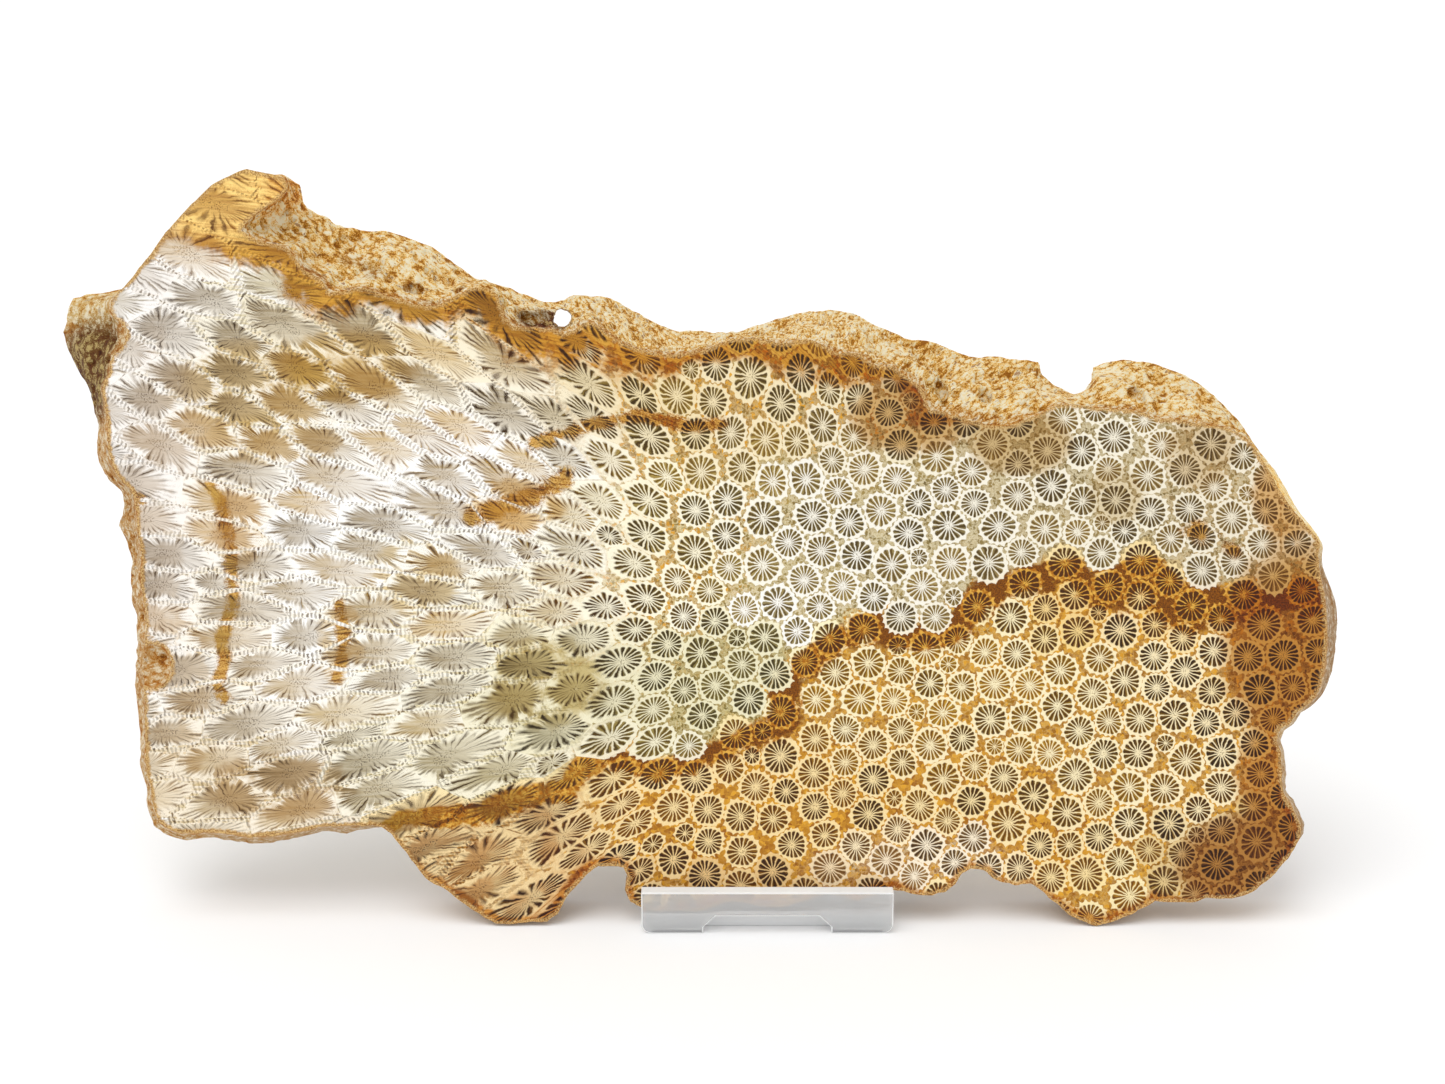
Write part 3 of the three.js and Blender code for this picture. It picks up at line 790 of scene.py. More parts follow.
# The white coral above the band, from the grey right to the stretched left.
WHITE_ZONES = [
    (0.04, (0, 0), (9999, 9999), 0.5, "ffffff", "86764a", "e4d8b0", 0.95, 0.05),
    (1, (70, 92), (55, 24), 0.5, "f8f2e0", "746034", "c8bc9c", 1.0, 0.05),
    (1, (112, 92), (18, 26), 0.5, "f0e6d0", "705a30", "c0ac84", 1.0, 0.15),
    (1, (48, 108), (24, 9), 0.5, "f0e4c0", "68521c", "c0aa6c", 1.0, 0.4),
    (1, (30, 82), (26, 12), 0.6, "ffffff", "7a6a3c", "d4c690", 0.95, 0.05),
    (1, (5, 104), (38, 9), 0.5, "f6e4b8", "745c20", "c4aa64", 1.0, 0.45),
    (1, (-52, 88), (30, 22), 0.5, "ffffff", "886420", "fffdf6", 0.85, 0.0),
    (1, (-78, 52), (8, 26), 0.5, "ffffff", "8c6e38", "fcf6e8", 0.95, 0.05),
    (1, (-58, 56), (14, 26), 0.5, "fffef8", "7a5818", "ece0bc", 1.0, 0.1),
    (1, (-10, 82), (22, 12), 0.6, "fff9e0", "786428", "d8c484", 1.0, 0.35),
    (1, (-35, 62), (26, 13), 0.6, "fffcec", "765208", "e6d49c", 1.0, 0.3),
    (1, (-15, 48), (30, 10), 0.6, "f2ecca", "605628", "b8ac70", 1.0, 0.1),
    (1, (-45, 36), (30, 9), 0.6, "fcf6e0", "6c5820", "d0c290", 1.0, 0.1),
    (1, (-80, 110), (26, 14), 0.6, "fffaf0", "70521a", "e4d8b4", 1.0, 0.15),
    (1, (-55, 115), (30, 7), 0.6, "f8ecc8", "7a5410", "d4b468", 1.0, 0.5),
    (3, (-94, 143), (18, 9), 0.4, "ffffff", "b88c44", "fff8e4", 0.8, 0.0),
    (1, (-110, 92), (9, 45), 0.5, "fcf8f4", "7e6a50", "ece4da", 0.95, 0.05),
    (1, (-96, 70), (10, 28), 0.5, "fefaf2", "805a18", "f0e4c8", 1.0, 0.25),
    (1, (-92, 28), (22, 12), 0.6, "fcf2e0", "74582a", "d8c498", 1.0, 0.25),
]
# The golden coral below the band, from the brown lobe at the left to the smoky right.
GOLDEN_ZONES = [
    (0.04, (0, 0), (9999, 9999), 0.5, "fff2c4", "724c06", "c8a448", 1.0, 0.6),
    (1, (62, 40), (34, 16), 0.6, "fff6d4", "866010", "ccae54", 0.95, 0.65),
    (1, (96, 44), (14, 20), 0.5, "fff2cc", "341c00", "caa040", 1.0, 0.6),
    (1, (45, 22), (28, 14), 0.6, "ffe8ac", "5c3800", "b4801c", 1.0, 1.0),
    (1, (10, 24), (26, 12), 0.6, "ffe8b0", "623c02", "b88830", 1.0, 0.9),
    (1, (-42, 12), (24, 14), 0.5, "ffe4ac", "4c2a00", "8c5c1c", 1.0, 0.5),
    (1, (42, 14), (18, 5), 0.5, "ffffff", "886c40", "f0e4cc", 0.9, 0.1),
    (1, (20, 9), (22, 4), 0.6, "ecc688", "4e2a06", "a87028", 1.0, 0.5),
    (1, (118, 50), (11, 26), 0.45, "e8c888", "5c3a0c", "a07434", 1.0, 0.2),
    (1, (110, 13), (14, 9), 0.4, "e0c48c", "5c3c10", "a07840", 1.0, 0.1),
    (1, (95, 64), (20, 6), 0.6, "f8d890", "4a2a06", "b88028", 1.0, 0.8),
]


def zone_looks(points, golden):
    """Septa, chamber and ground colours, strength and gilt, mixed by the golden coral's share."""
    looks = []
    for zones in (WHITE_ZONES, GOLDEN_ZONES):
        weight = np.stack([most * blob(points, *place) for most, *place, _, _, _, _, _ in zones])
        look = [
            [*colour(septa), *colour(chamber), *colour(ground), strength, gilt]
            for *_, septa, chamber, ground, strength, gilt in zones]
        looks.append((weight / weight.sum(axis=0)).T @ look)
    white, gold = looks
    return np.split(white + (gold - white) * golden[:, None], [3, 6, 9, 10], axis=1)


def cell_tints(places, golden, chance):
    """Each corallite's septa and chamber colours, with golden and the chambers' strength beside."""
    shifted = places + ZONE_WANDER * (chance[:, :2] - 0.5)
    septa, chamber, _, strength, _ = zone_looks(shifted, golden)
    chamber = chamber * (0.62 + 1.5 * chance[:, 2:] ** 1.6)
    return np.column_stack([septa, golden]), np.column_stack([chamber, strength])


def ground_tints(points):
    """The ground's colour, with the share of gilt beside."""
    _, _, ground, _, gilt = zone_looks(points, smoothstep(-0.6, 0.4, band_depth(points)))
    return np.column_stack([ground, gilt])


def stains(points, rim_gap):
    """How deep each point lies in the band, the stained rim and the nearest vein.

    With it goes the rim's colour, and beside that the distance to the rim in millimetres.
    """
    depth = band_depth(points)
    width = np.interp(points[:, 0], *np.array(BAND_WIDTH, float).T)
    band = np.where(depth > 0, depth / width, depth)
    rim, rim_tint = rim_stain(points, rim_gap)
    return np.column_stack([band, rim, vein_depth(points)]), np.column_stack([rim_tint, rim_gap])


def washes(points):
    """The tint that the smoky and rusty places lay over everything, and how strong it is there."""
    layers = [(blob(points, middle, size) * most, text) for middle, size, text, most in WASHES]
    tint = laid_over(np.ones((len(points), 3)), layers)
    return np.column_stack([tint, np.max([weight for weight, _ in layers], axis=0)])


def rim_stain(points, gap):
    """How deep into the stained rim each point is, and what colour the stain gives there."""
    x, z = points.T
    crest = smoothstep(88, 98, z) * smoothstep(60, 30, x) * smoothstep(-108, -98, x)
    lobe = blob(points, (-94, 146), (14, 9))
    foot = smoothstep(30, 18, z) * smoothstep(-60, -50, x)
    wander = 1 + 0.6 * noise(x / 9, z / 9, 1.0)
    width = (0.7 + 4.6 * crest + 1.2 * foot) * wander + 10 * lobe
    return gap / width, laid_over(
        colour("e8cfa0"), ((crest, "d8a848"), (foot, "dab070"), (lobe, "ffe094")))


# ---- Material helpers ---------------------------------------------------------------------------

class Wire:
    """A number in a material, which can be written into sums."""

    def __init__(self, sheet, socket):
        self.sheet, self.socket = sheet, socket

    def __add__(self, other):
        return self.sheet.math("ADD", self, other)

    def __sub__(self, other):
        return self.sheet.math("SUBTRACT", self, other)

    def __mul__(self, other):
        return self.sheet.math("MULTIPLY", self, other)

    def __truediv__(self, other):
        return self.sheet.math("DIVIDE", self, other)

    def __rsub__(self, other):
        return self.sheet.math("SUBTRACT", other, self)

    def __abs__(self):
        return self.sheet.math("ABSOLUTE", self)

    __radd__, __rmul__ = __add__, __mul__


class Sheet:
    """A new material, with short ways to lay out its nodes."""

    def __init__(self, name):
        self.material = bpy.data.materials.new(name)
        self.material.use_nodes = True
        self.tree = self.material.node_tree
        self.tree.nodes.clear()
        self.output = self.tree.nodes.new("ShaderNodeOutputMaterial")

    def node(self, kind, inputs=(), **settings):
        """A new node; its inputs go by name or number."""
        node = self.tree.nodes.new(kind)
        for name, value in settings.items():
            setattr(node, name, value)
        for name, value in dict(inputs).items():
            self.plug(value, node.inputs[name])
        return node

    def plug(self, value, socket):
        """Leads a wire to a socket, or sets the socket to a number, vector or hex colour."""
        if isinstance(value, Wire):
            value = value.socket
        if isinstance(value, str):
            value = (*colour(value), 1.0)
        if isinstance(value, bpy.types.NodeSocket):
            self.tree.links.new(value, socket)
        else:
            socket.default_value = value

    def wire(self, socket):
        return Wire(self, socket)

    def math(self, operation, *values):
        node = self.node("ShaderNodeMath", enumerate(values), operation=operation)
        return self.wire(node.outputs[0])

    def step(self, low, high, value):
        """0 below low, 1 above high, smooth between; low may be the greater."""
        ends = {"Value": value, "From Min": low, "From Max": high}
        node = self.node("ShaderNodeMapRange", ends, interpolation_type="SMOOTHSTEP")
        return self.wire(node.outputs["Result"])

    def mix(self, share, a, b, blend_type="MIX"):
        """From colour a to colour b by a share; 6, 7 and 2 are the node's colour sockets."""
        return self.node(
            "ShaderNodeMix", {0: share, 6: a, 7: b},
            data_type="RGBA", blend_type=blend_type, clamp_factor=True).outputs[2]

    def times(self, a, b):
        """One colour multiplied by another."""
        return self.mix(1.0, a, b, "MULTIPLY")

    def lighter(self, tint, power):
        """The tint raised to a power below 1: lighter, with its hue kept."""
        return self.node("ShaderNodeGamma", {"Color": tint, "Gamma": power}).outputs[0]

    def attribute(self, name):
        return self.node("ShaderNodeAttribute", attribute_name=name)

    def vector(self, name):
        """The three numbers of a mesh attribute."""
        return self.split(self.attribute(name).outputs["Vector"])

    def painted(self, name):
        """The colour of a mesh attribute, and the number beside it."""
        node = self.attribute(name)
        return node.outputs["Color"], self.wire(node.outputs["Alpha"])

    def split(self, vector):
        node = self.node("ShaderNodeSeparateXYZ", {"Vector": vector})
        return [self.wire(socket) for socket in node.outputs]

    def join(self, x, y, z=0.0):
        return self.node("ShaderNodeCombineXYZ", {"X": x, "Y": y, "Z": z}).outputs[0]

    def noise_node(self, vector, scale, detail=2.0, rough=0.5):
        return self.node("ShaderNodeTexNoise", {
            "Vector": vector, "Scale": scale, "Detail": detail, "Roughness": rough})

    def noise(self, *settings):
        return self.wire(self.noise_node(*settings).outputs[0])

    def random(self, vector):
        """Three random numbers for each whole vector."""
        return self.split(self.node("ShaderNodeTexWhiteNoise", {"Vector": vector}).outputs["Color"])

    def cells(self, vector, scale, jitter=1.0):
        """Distance to the nearest scattered point, and that point's random number."""
        node = self.node("ShaderNodeTexVoronoi", {
            "Vector": vector, "Scale": scale, "Randomness": jitter})
        return self.wire(node.outputs["Distance"]), self.split(node.outputs["Color"])[0]

    def bent(self, vector, scale, amount):
        """The vector with each part pushed about by noise, so that straight edges wander."""
        push = self.noise_node(vector, scale).outputs["Color"]
        push = self.node("ShaderNodeVectorMath", {0: push, 1: (amount,) * 3}, operation="MULTIPLY")
        return self.node("ShaderNodeVectorMath", {0: vector, 1: push.outputs[0]}).outputs[0]

    def surface(self, **inputs):
        """Ends the material in a shader; its inputs are named in lower case with underscores."""
        shader = self.node("ShaderNodeBsdfPrincipled")
        for socket in shader.inputs:
            name = socket.name.lower().replace(" ", "_")
            if name in inputs:
                self.plug(inputs[name], socket)
        self.tree.links.new(shader.outputs[0], self.output.inputs["Surface"])
        return self.material

    def bump(self, height, strength, distance):
        return self.node("ShaderNodeBump", {
            "Height": height, "Strength": strength, "Distance": distance}).outputs[0]


# ---- The polished coral -------------------------------------------------------------------------

class SawnCoral(Sheet):
    """The stone of a sawn face. Each of its values is a number or a colour that varies over it."""

    def __init__(self, name, roughness):
        super().__init__(name)
        self.slab = self.attribute("slab").outputs["Vector"]
        self.septa_tint, self.golden = self.painted("septa_tint")
        self.chamber_tint, self.strength = self.painted("chamber_tint")
        self.ground_tint, self.gilt = self.painted("ground_tint")
        self.run, across, slanting = self.vector("run")
        self.leafy = self.step(0.02, 0.5, slanting)  # 0 for round corallites, 1 for stretched ones
        self.fine = self.noise(self.slab, 3.2, 3.0, 0.6)
        self.grain = self.noise(self.slab, 1.1, 3.0, 0.6)
        self.drift = self.noise(self.slab, 0.28, 2.0)
        self.sway = self.noise(self.slab, 0.3, 2.0)
        self.streak = self.noise(self.join(self.run * 0.16, across * 1.6), 1.0, 3.0)
        self.light = self.times(self.ground_tint, "bcae88")
        self.find_septa()
        self.find_zippers()
        self.find_stains()
        self.find_pores()
        stone = self.stained(self.unstained())
        height = 1.0 - self.chamber * 0.6 - self.pore * 0.4
        self.surface(
            base_color=stone,
            roughness=roughness + (1.0 - self.fine) * 0.12 + self.chamber * 0.08,
            specular_ior_level=0.2,
            ior=1.54,
            normal=self.bump(height, 0.12, 0.0002),
        )

    def find_septa(self):
        """How much each spot is chamber, ring and columella, with its petal's random numbers."""
        leafy = self.leafy
        u, v, wall = self.vector("place")
        kind = self.attribute("kind")
        phase, petals, spine = self.split(kind.outputs["Vector"])
        size = self.wire(kind.outputs["Alpha"])
        shift_u, shift_v, _ = self.split(self.noise_node(self.slab, 0.8, 3.0).outputs["Color"])
        u = u + (shift_u - 0.5) * 0.16
        v = v + (shift_v - 0.5) * 0.16
        on_spine = self.math("MAXIMUM", self.math("MINIMUM", u, spine), spine * -1.0)
        beyond = u - on_spine
        length = self.math("MAXIMUM", self.math("SQRT", beyond * beyond + v * v), 0.001)
        filling = length * size / (length * size + wall)
        radius = length * (1.0 - leafy) * 0.62 + filling * (leafy * 0.4 + 0.42)
        radius = radius + (self.sway - 0.5) * (leafy * 0.5) - leafy * 0.03

        # Petals are counted round the corallite: along both sides of its spine and round both ends.
        turn = self.math("ARCTAN2", v, beyond) / math.tau * petals + phase + (shift_u - 0.5) * 0.22
        turn = turn - on_spine * self.math("SIGN", v) * (SPINE_SEPTA / 2)
        share = self.math("FRACT", turn)
        along_spine = self.math("ROUND", spine * SPINE_SEPTA)
        count = turn + self.math("LESS_THAN", v, 0.0) * (petals + along_spine)
        petal = self.math("FLOORED_MODULO", self.math("FLOOR", count), petals + along_spine * 2.0)
        chance = self.random(self.join(petal, phase * 97.0))
        side = abs(share - 0.5) * 2.0
        hair = self.noise(self.join(turn * 3.3, radius * 1.4, phase * 31.0), 1.0, 2.0, 0.6)
        gap = (1.0 - side) * radius / petals * (math.pi * LARGE_RADIUS)
        gap = gap + (hair - 0.5) * (leafy * 0.5 + 0.12)
        thickness = self.step(0.5, 1.0, radius) * 0.03 + chance[1] * 0.03 + leafy * 0.02
        between = self.step(thickness, thickness + 0.16 + leafy * 0.12, gap)
        inner = 0.06 + chance[0] * 0.16
        outer = 0.955 - chance[1] * (leafy * 0.24 + 0.08) - side * side * 0.09
        chamber = between * self.step(inner, inner + 0.1, radius)
        frayed = radius + (hair - 0.5) * leafy * 0.3
        self.chamber = chamber * self.step(outer, outer - 0.06 - leafy * 0.14, frayed)
        scallop = 0.99 + side * side * 0.14 + (shift_v - 0.5) * 0.26 + (chance[2] - 0.5) * 0.06
        self.ring = self.step(scallop + 0.03, scallop - 0.02, radius)
        self.body = leafy * self.step(outer + 0.05, outer - 0.3, radius + (chance[2] - 0.5) * 0.16)
        splitter = self.step(0.2, 0.04, side) * self.step(0.45, 0.75, radius)
        self.splitter = splitter * self.step(0.4, 0.5, chance[0])
        self.core = self.step(0.3, 0.04, abs(share - 0.3 - chance[2] * 0.4))
        self.inward = self.step(0.5, -1.0, u)
        self.radius, self.chance, self.hair = radius, chance, hair

    def find_zippers(self):
        """Rows of short dashes square to the growth, along the walls of slanting corallites."""
        gap, facing, _ = self.vector("walls")
        gap = gap + (self.sway - 0.5) * (self.leafy * 1.4)
        row = gap / ZIPPER_ROW + (self.grain - 0.5) * 0.4
        rank = self.math("ROUND", row)
        count = self.run / ZIPPER_STEP + rank * 0.41 + (self.grain - 0.5) * 1.3
        chance = self.random(self.join(self.math("FLOOR", count), rank))
        dash = abs(self.math("FRACT", count) - 0.5) + (self.fine - 0.5) * 0.3
        dashes = self.step(0.34, 0.16, dash) * (chance[0] * 0.4 + 0.5)
        dashes = dashes * (self.step(0.42, 0.56, self.sway) * 0.4 + 0.6)
        rows = self.step(0.47, 0.33, abs(row - rank) + (chance[1] - 0.5) * 0.2)
        lengthwise = self.leafy * self.step(0.35, 0.7, facing)
        wide = self.step(0.4, 0.6, self.grain) * 0.5 + 0.5
        dashes = dashes * self.step(wide + 0.5, wide + 0.2, gap)
        self.zipper = dashes * rows * lengthwise
        self.ring = self.ring * (1.0 - self.step(wide, wide - 0.3, gap) * lengthwise)
        self.wall_gap = gap

    def find_stains(self):
        """How much each spot lies in the dark band, the stained rim and the ochre veins."""
        band, rim, vein = self.vector("stain")
        ragged = (self.grain - 0.5) * 0.7 + (self.drift - 0.5) * 1.1
        upper = self.step(-0.5, 0.0, band + ragged * 0.8)
        self.in_band = upper * self.step(1.15, 0.85, band + ragged)
        self.band_on_cell = self.in_band * self.golden
        self.in_rim = self.step(1.25, 0.55, rim + ragged)
        veined = self.step(0.38, 0.58, self.streak * 0.5 + self.fine * 0.5)
        self.vein_tint = self.mix(veined, "8c5404", "dcb060")
        self.in_vein = self.step(1.3, 0.5, vein + ragged * 1.6 + (self.fine - 0.5) * 1.2)

    def veined(self, tint):
        return self.mix(self.in_vein, tint, self.times(tint, self.vein_tint))

    def find_pores(self):
        """The ground between the corallites is full of small bean-shaped pores, some gilded."""
        bean, self.bean_chance = self.cells(self.bent(self.slab, 0.9, 1.3), 1.3, 0.85)
        bean = self.step(0.58, 0.38, bean + (self.fine - 0.5) * 0.6)
        self.pore = bean * self.step(0.75, 0.6, self.bean_chance)
        gilded = bean * self.step(0.5, 0.62, self.bean_chance)
        gold_dust = self.drift + (0.5 - self.gilt) * 0.42 + (self.fine - 0.5) * 0.2
        in_gilt = self.step(0.72, 0.52, gold_dust) * self.gilt
        self.gilded = self.math("MAXIMUM", gilded * self.step(0.02, 0.3, self.gilt), in_gilt)

    def ground(self):
        """The stone between the corallites."""
        fine, leafy, tint = self.fine, self.leafy, self.ground_tint
        seam = self.step(0.16, 0.06, self.wall_gap + (fine - 0.5) * 0.4)
        seam = seam * self.step(0.46, 0.56, self.grain)
        ground = self.mix(self.step(0.3, 0.62, fine), tint, self.septa_tint)
        ground = self.mix(0.55, ground, tint)
        ground = self.mix(1.0 - leafy, ground, self.times(ground, "ece6d6"))
        ground = self.mix(self.math("MAXIMUM", self.pore, seam * 0.6), ground,
                          self.mix(self.bean_chance + 0.25, self.light, self.chamber_tint))
        outline = self.step(1.3, 1.06, self.radius + (fine - 0.5) * 0.5) * (1.0 - leafy)
        ground = self.mix(outline * 0.35, ground, self.mix(self.gilt, self.light, "b47c18"))
        ground = self.mix(self.gilded, ground, self.mix(self.bean_chance, "94560a", "dca02c"))
        dark_ground = self.mix(self.step(0.35, 0.65, fine), "8c5004", "5a2e02")
        ground = self.mix(self.in_band, ground, dark_ground)
        feather = self.mix(self.step(0.35, 0.65, self.streak), tint, self.septa_tint)
        ground = self.mix(leafy * (1.0 - self.in_band) * 0.8, ground, feather)
        return self.veined(ground)

    def septa(self):
        """The septa and ring, with the softer body of slanting corallites in them."""
        septa = self.mix((1.0 - self.fine) * 0.5, self.septa_tint, self.ground_tint)
        gold = self.mix(self.step(0.4, 0.6, self.grain), "a8660c", "dca844")
        septa = self.veined(self.mix(self.band_on_cell, septa, gold))
        filled = self.body * (0.8 - self.inward * 0.45) * (self.streak * 0.9 + 0.4)
        return self.mix(filled, septa, self.lighter(self.chamber_tint, 0.72))

    def chambers(self, dark):
        """Between the septa: darker cores, paler towards the tips of slanting corallites."""
        fine, leafy = self.fine, self.leafy
        cloud = self.noise(self.slab, 0.09, 2.0)
        lit = (self.chance[2] - 0.5) * 0.5 + (self.streak - 0.5) * 0.8 + self.splitter * 0.4 + 0.42
        lit = lit + (self.hair - 0.5) * (2.4 + leafy * 2.2) - leafy * 1.15
        fading = self.step(0.35, 0.95, self.radius) * leafy * (self.inward * 1.1 + 0.1)
        lit = lit + fading + (1.0 - self.strength) * 1.3 + (fine - 0.5) * leafy * 1.2
        lit = lit + self.step(0.5, 0.75, cloud) * (1.0 - self.golden) * 0.3
        lit = lit - self.core * (1.3 - leafy * 0.6)
        chamber = self.mix(self.step(-0.4, 0.3, lit), dark, self.lighter(self.chamber_tint, 0.85))
        chamber = self.mix(self.step(0.2, 1.1, lit), chamber, self.light)
        return self.veined(self.mix(self.band_on_cell, chamber, "4e2804"))

    def unstained(self):
        """Ground, corallites and the dashes between them, before washes and rim."""
        dark = self.times(self.chamber_tint, self.mix(self.leafy, "b8a888", "94805c"))
        chamber = self.chambers(dark)
        stone = self.mix(self.ring, self.ground(), self.septa())
        stone = self.mix(self.zipper * (1.0 - self.ring) * self.leafy, stone,
                         self.mix(self.step(0.45, 0.75, self.grain) * 0.6, dark, self.light))
        stone = self.mix(self.chamber * self.ring, stone, chamber)
        speckle = self.step(0.26, 0.12, self.radius) * self.step(0.5, 0.6, self.fine)
        return self.mix(speckle * 0.7, stone, chamber)

    def stained(self, stone):
        """The washes over everything, the stained rim and its granular edge."""
        fine, grain = self.fine, self.grain
        wash_tint, wash = self.painted("wash")
        cover = wash + (self.drift - 0.5) * 0.9 + (grain - 0.5) * 0.3
        cover = cover - self.leafy * (1.0 - self.body) * 0.45
        stone = self.mix(self.step(0.2, 0.6, cover), stone, self.times(stone, wash_tint))
        rim_tint, rim_gap = self.painted("rim_tint")
        streaky = self.step(0.35, 0.6, self.streak + (fine - 0.5) * 0.3)
        streaky = self.mix(streaky, "b88838", "fff4dc")
        stain = self.mix(0.6, rim_tint, streaky, "MULTIPLY")
        stone = self.mix(self.in_rim, stone, self.times(stone, stain))
        edge = self.step(1.0, 0.4, rim_gap + (grain - 0.5) * 1.8)
        edge_tint = self.mix(self.step(0.38, 0.62, fine), "8a5a24", "e0bc7c")
        return self.mix(edge * 0.8, stone, edge_tint)


# ---- The crust ----------------------------------------------------------------------------------

def crust_stone():
    """Knobbly, ribbed stone of the crust's own tint, with painted shade in its hollows and pits,
    ochre between and painted highlights on its knobs.
    """
    sheet = Sheet("coral_crust")
    slab = sheet.attribute("slab").outputs["Vector"]
    tint, _ = sheet.painted("ground_tint")
    relief, share, _ = sheet.vector("crust")
    run, around, depth = sheet.vector("run")
    ribbed = sheet.join(around, run * 0.36, depth * 0.8)
    fine = sheet.noise(slab, 3.4, 4.0, 0.7)
    grain = sheet.noise(ribbed, 1.3, 4.0, 0.7)
    patch = sheet.noise(slab, 0.2, 3.0)
    knob, chance = sheet.cells(sheet.bent(ribbed, 1.1, 0.9), 1.5)
    _, pit_chance = sheet.cells(ribbed, 1.5)
    pit = sheet.step(0.42, 0.3, knob) * sheet.step(0.86, 0.92, pit_chance)
    # The level follows the knobs, noise and the skin's relief. It sets the bump and also the
    # painted light and shade: low is painted shade, high is a painted highlight.
    level = 0.8 - knob * 0.7 + (fine - 0.5) * 1.7 + (grain - 0.5) * 1.2
    level = level + (relief - 0.5) * 0.35 + (chance - 0.5) * 0.3 + (patch - 0.5) * 0.4
    level = 0.5 + (level - 0.5) * (0.55 + share * 0.65)
    # Painted shade for the hollows and pits, and a painted highlight for the knobs.
    deep = sheet.times(tint, "a4741c")
    light = sheet.lighter(tint, 0.36)
    stone = sheet.mix(sheet.step(-0.02, 0.2, level), deep, sheet.times(tint, "e6bc5c"))
    stone = sheet.mix(sheet.step(0.2, 0.42, level), stone, tint)
    stone = sheet.mix(sheet.step(0.44, 0.7, level), stone, light)
    # The pits get the painted shade as well.
    stone = sheet.mix(pit * share * 0.8, stone, deep)
    return sheet.surface(
        base_color=stone,
        roughness=0.7,
        specular_ior_level=0.3,
        ior=1.5,
        normal=sheet.bump(level - pit * 0.5, 0.7, 0.0005),
    )


def crust_tint(points):
    """The crust's own colour: cream on the crest, grey to brown down the flanks and foot."""
    x, z, depth = points.T
    flat = points[:, :2]
    hollows = octaves(x / 6.0, z / 6.0, depth / 5.0, 2)
    rusty = smoothstep(-0.1, 0.5, hollows) * smoothstep(14, 4, depth)
    return laid_over(colour("fbda90"), (
        (smoothstep(60, 30, z), "c09c6c"),
        (smoothstep(-98, -106, x) * smoothstep(130, 120, z), "cda468"),
        (blob(flat, (-122, 124), (9, 4)), "d8b878"),
        (blob(flat, (-123, 112), (10, 10)), "6c460c"),
        (blob(flat, (-92, 148), (12, 6)), "f4bc60"),
        (smoothstep(118, 124, x) * smoothstep(80, 70, z), "a88458"),
        (blob(flat, (-74, 130), (9, 5), 0.4) * rusty, "a06c28"),
        (blob(flat, (-53, 127), (7, 4), 0.4) * rusty, "a06c28"),
        (blob(flat, (-32, 122), (5, 4), 0.4) * smoothstep(9, 4, depth), "6c3c08"),
        (0.7 * smoothstep(1.8, 0.3, depth), "c8924a"),
    ))


# ---- Building the slab --------------------------------------------------------------------------

def add_object(name, data):
    thing = bpy.data.objects.new(name, data)
    bpy.context.scene.collection.objects.link(thing)
    return thing


def paint(mesh, name, kind, domain, values):
    """Stores numbers or colours on a mesh."""
    layer = mesh.attributes.new(name, kind, domain)
    values = values.astype(np.float32).ravel()
    layer.data.foreach_set("color" if kind == "FLOAT_COLOR" else "vector", values)


FRONT_MATERIAL, SKIN_MATERIAL, BACK_MATERIAL = range(3)  # places in the slab's list of materials


def closed_slab(skin, faces):
    """The points and triangles of the skin and both faces, and each triangle's material.

    The points of a face that lie on its outline are the skin's own.
    """
    points, triangles = [skin.points], [skin.triangles]
    material = [np.full(len(skin.triangles), SKIN_MATERIAL)]
    count = len(skin.points)
    for face, number in zip(faces, (FRONT_MATERIAL, BACK_MATERIAL)):
        index = np.empty(len(face.points), int)
        fresh = [i for i in range(len(face.points)) if i not in face.rim_of]
        index[list(face.rim_of)] = list(face.rim_of.values())
        index[fresh] = count + np.arange(len(fresh))
        count += len(fresh)
        points.append(np.column_stack([face.points[fresh], np.full(len(fresh), face.depth)]))
        corners = face.points[face.triangles]
        turn = np.cross(corners[:, 1] - corners[:, 0], corners[:, 2] - corners[:, 0])
        if (turn.sum() > 0) != (face.depth == 0):
            face.triangles = face.triangles[:, ::-1]
        triangles.append(index[face.triangles])
        material.append(np.full(len(face.triangles), number))
    return np.vstack(points), np.vstack(triangles), np.concatenate(material)


def store_values(mesh, skin, faces, points):
    """Puts the values that the materials read on the mesh: of its points and of its corners."""
    crust = np.zeros((len(points), 3))
    x, z, _ = skin.points.T
    # The relief goes to the crust material, which paints shade and highlights from it.
    crust[:len(skin.points), 0] = skin.relief
    crust[:len(skin.points), 1] = crust_share(x, z)
    paint(mesh, "slab", "FLOAT_VECTOR", "POINT", points)
    paint(mesh, "crust", "FLOAT_VECTOR", "POINT", crust)
    skin_corners = skin.triangles.ravel()
    front, back = (face.layers() for face in faces)
    for name, on_front in front.items():
        width = on_front.shape[1]
        on_skin = np.zeros((len(skin_corners), width))
        if name == "ground_tint":
            on_skin[:, :3] = crust_tint(skin.points)[skin_corners]
        if name == "run":
            on_skin = skin.run()[skin_corners]
        values = np.vstack([on_skin, on_front, back[name]])
        paint(mesh, name, "FLOAT_COLOR" if width == 4 else "FLOAT_VECTOR", "CORNER", values)


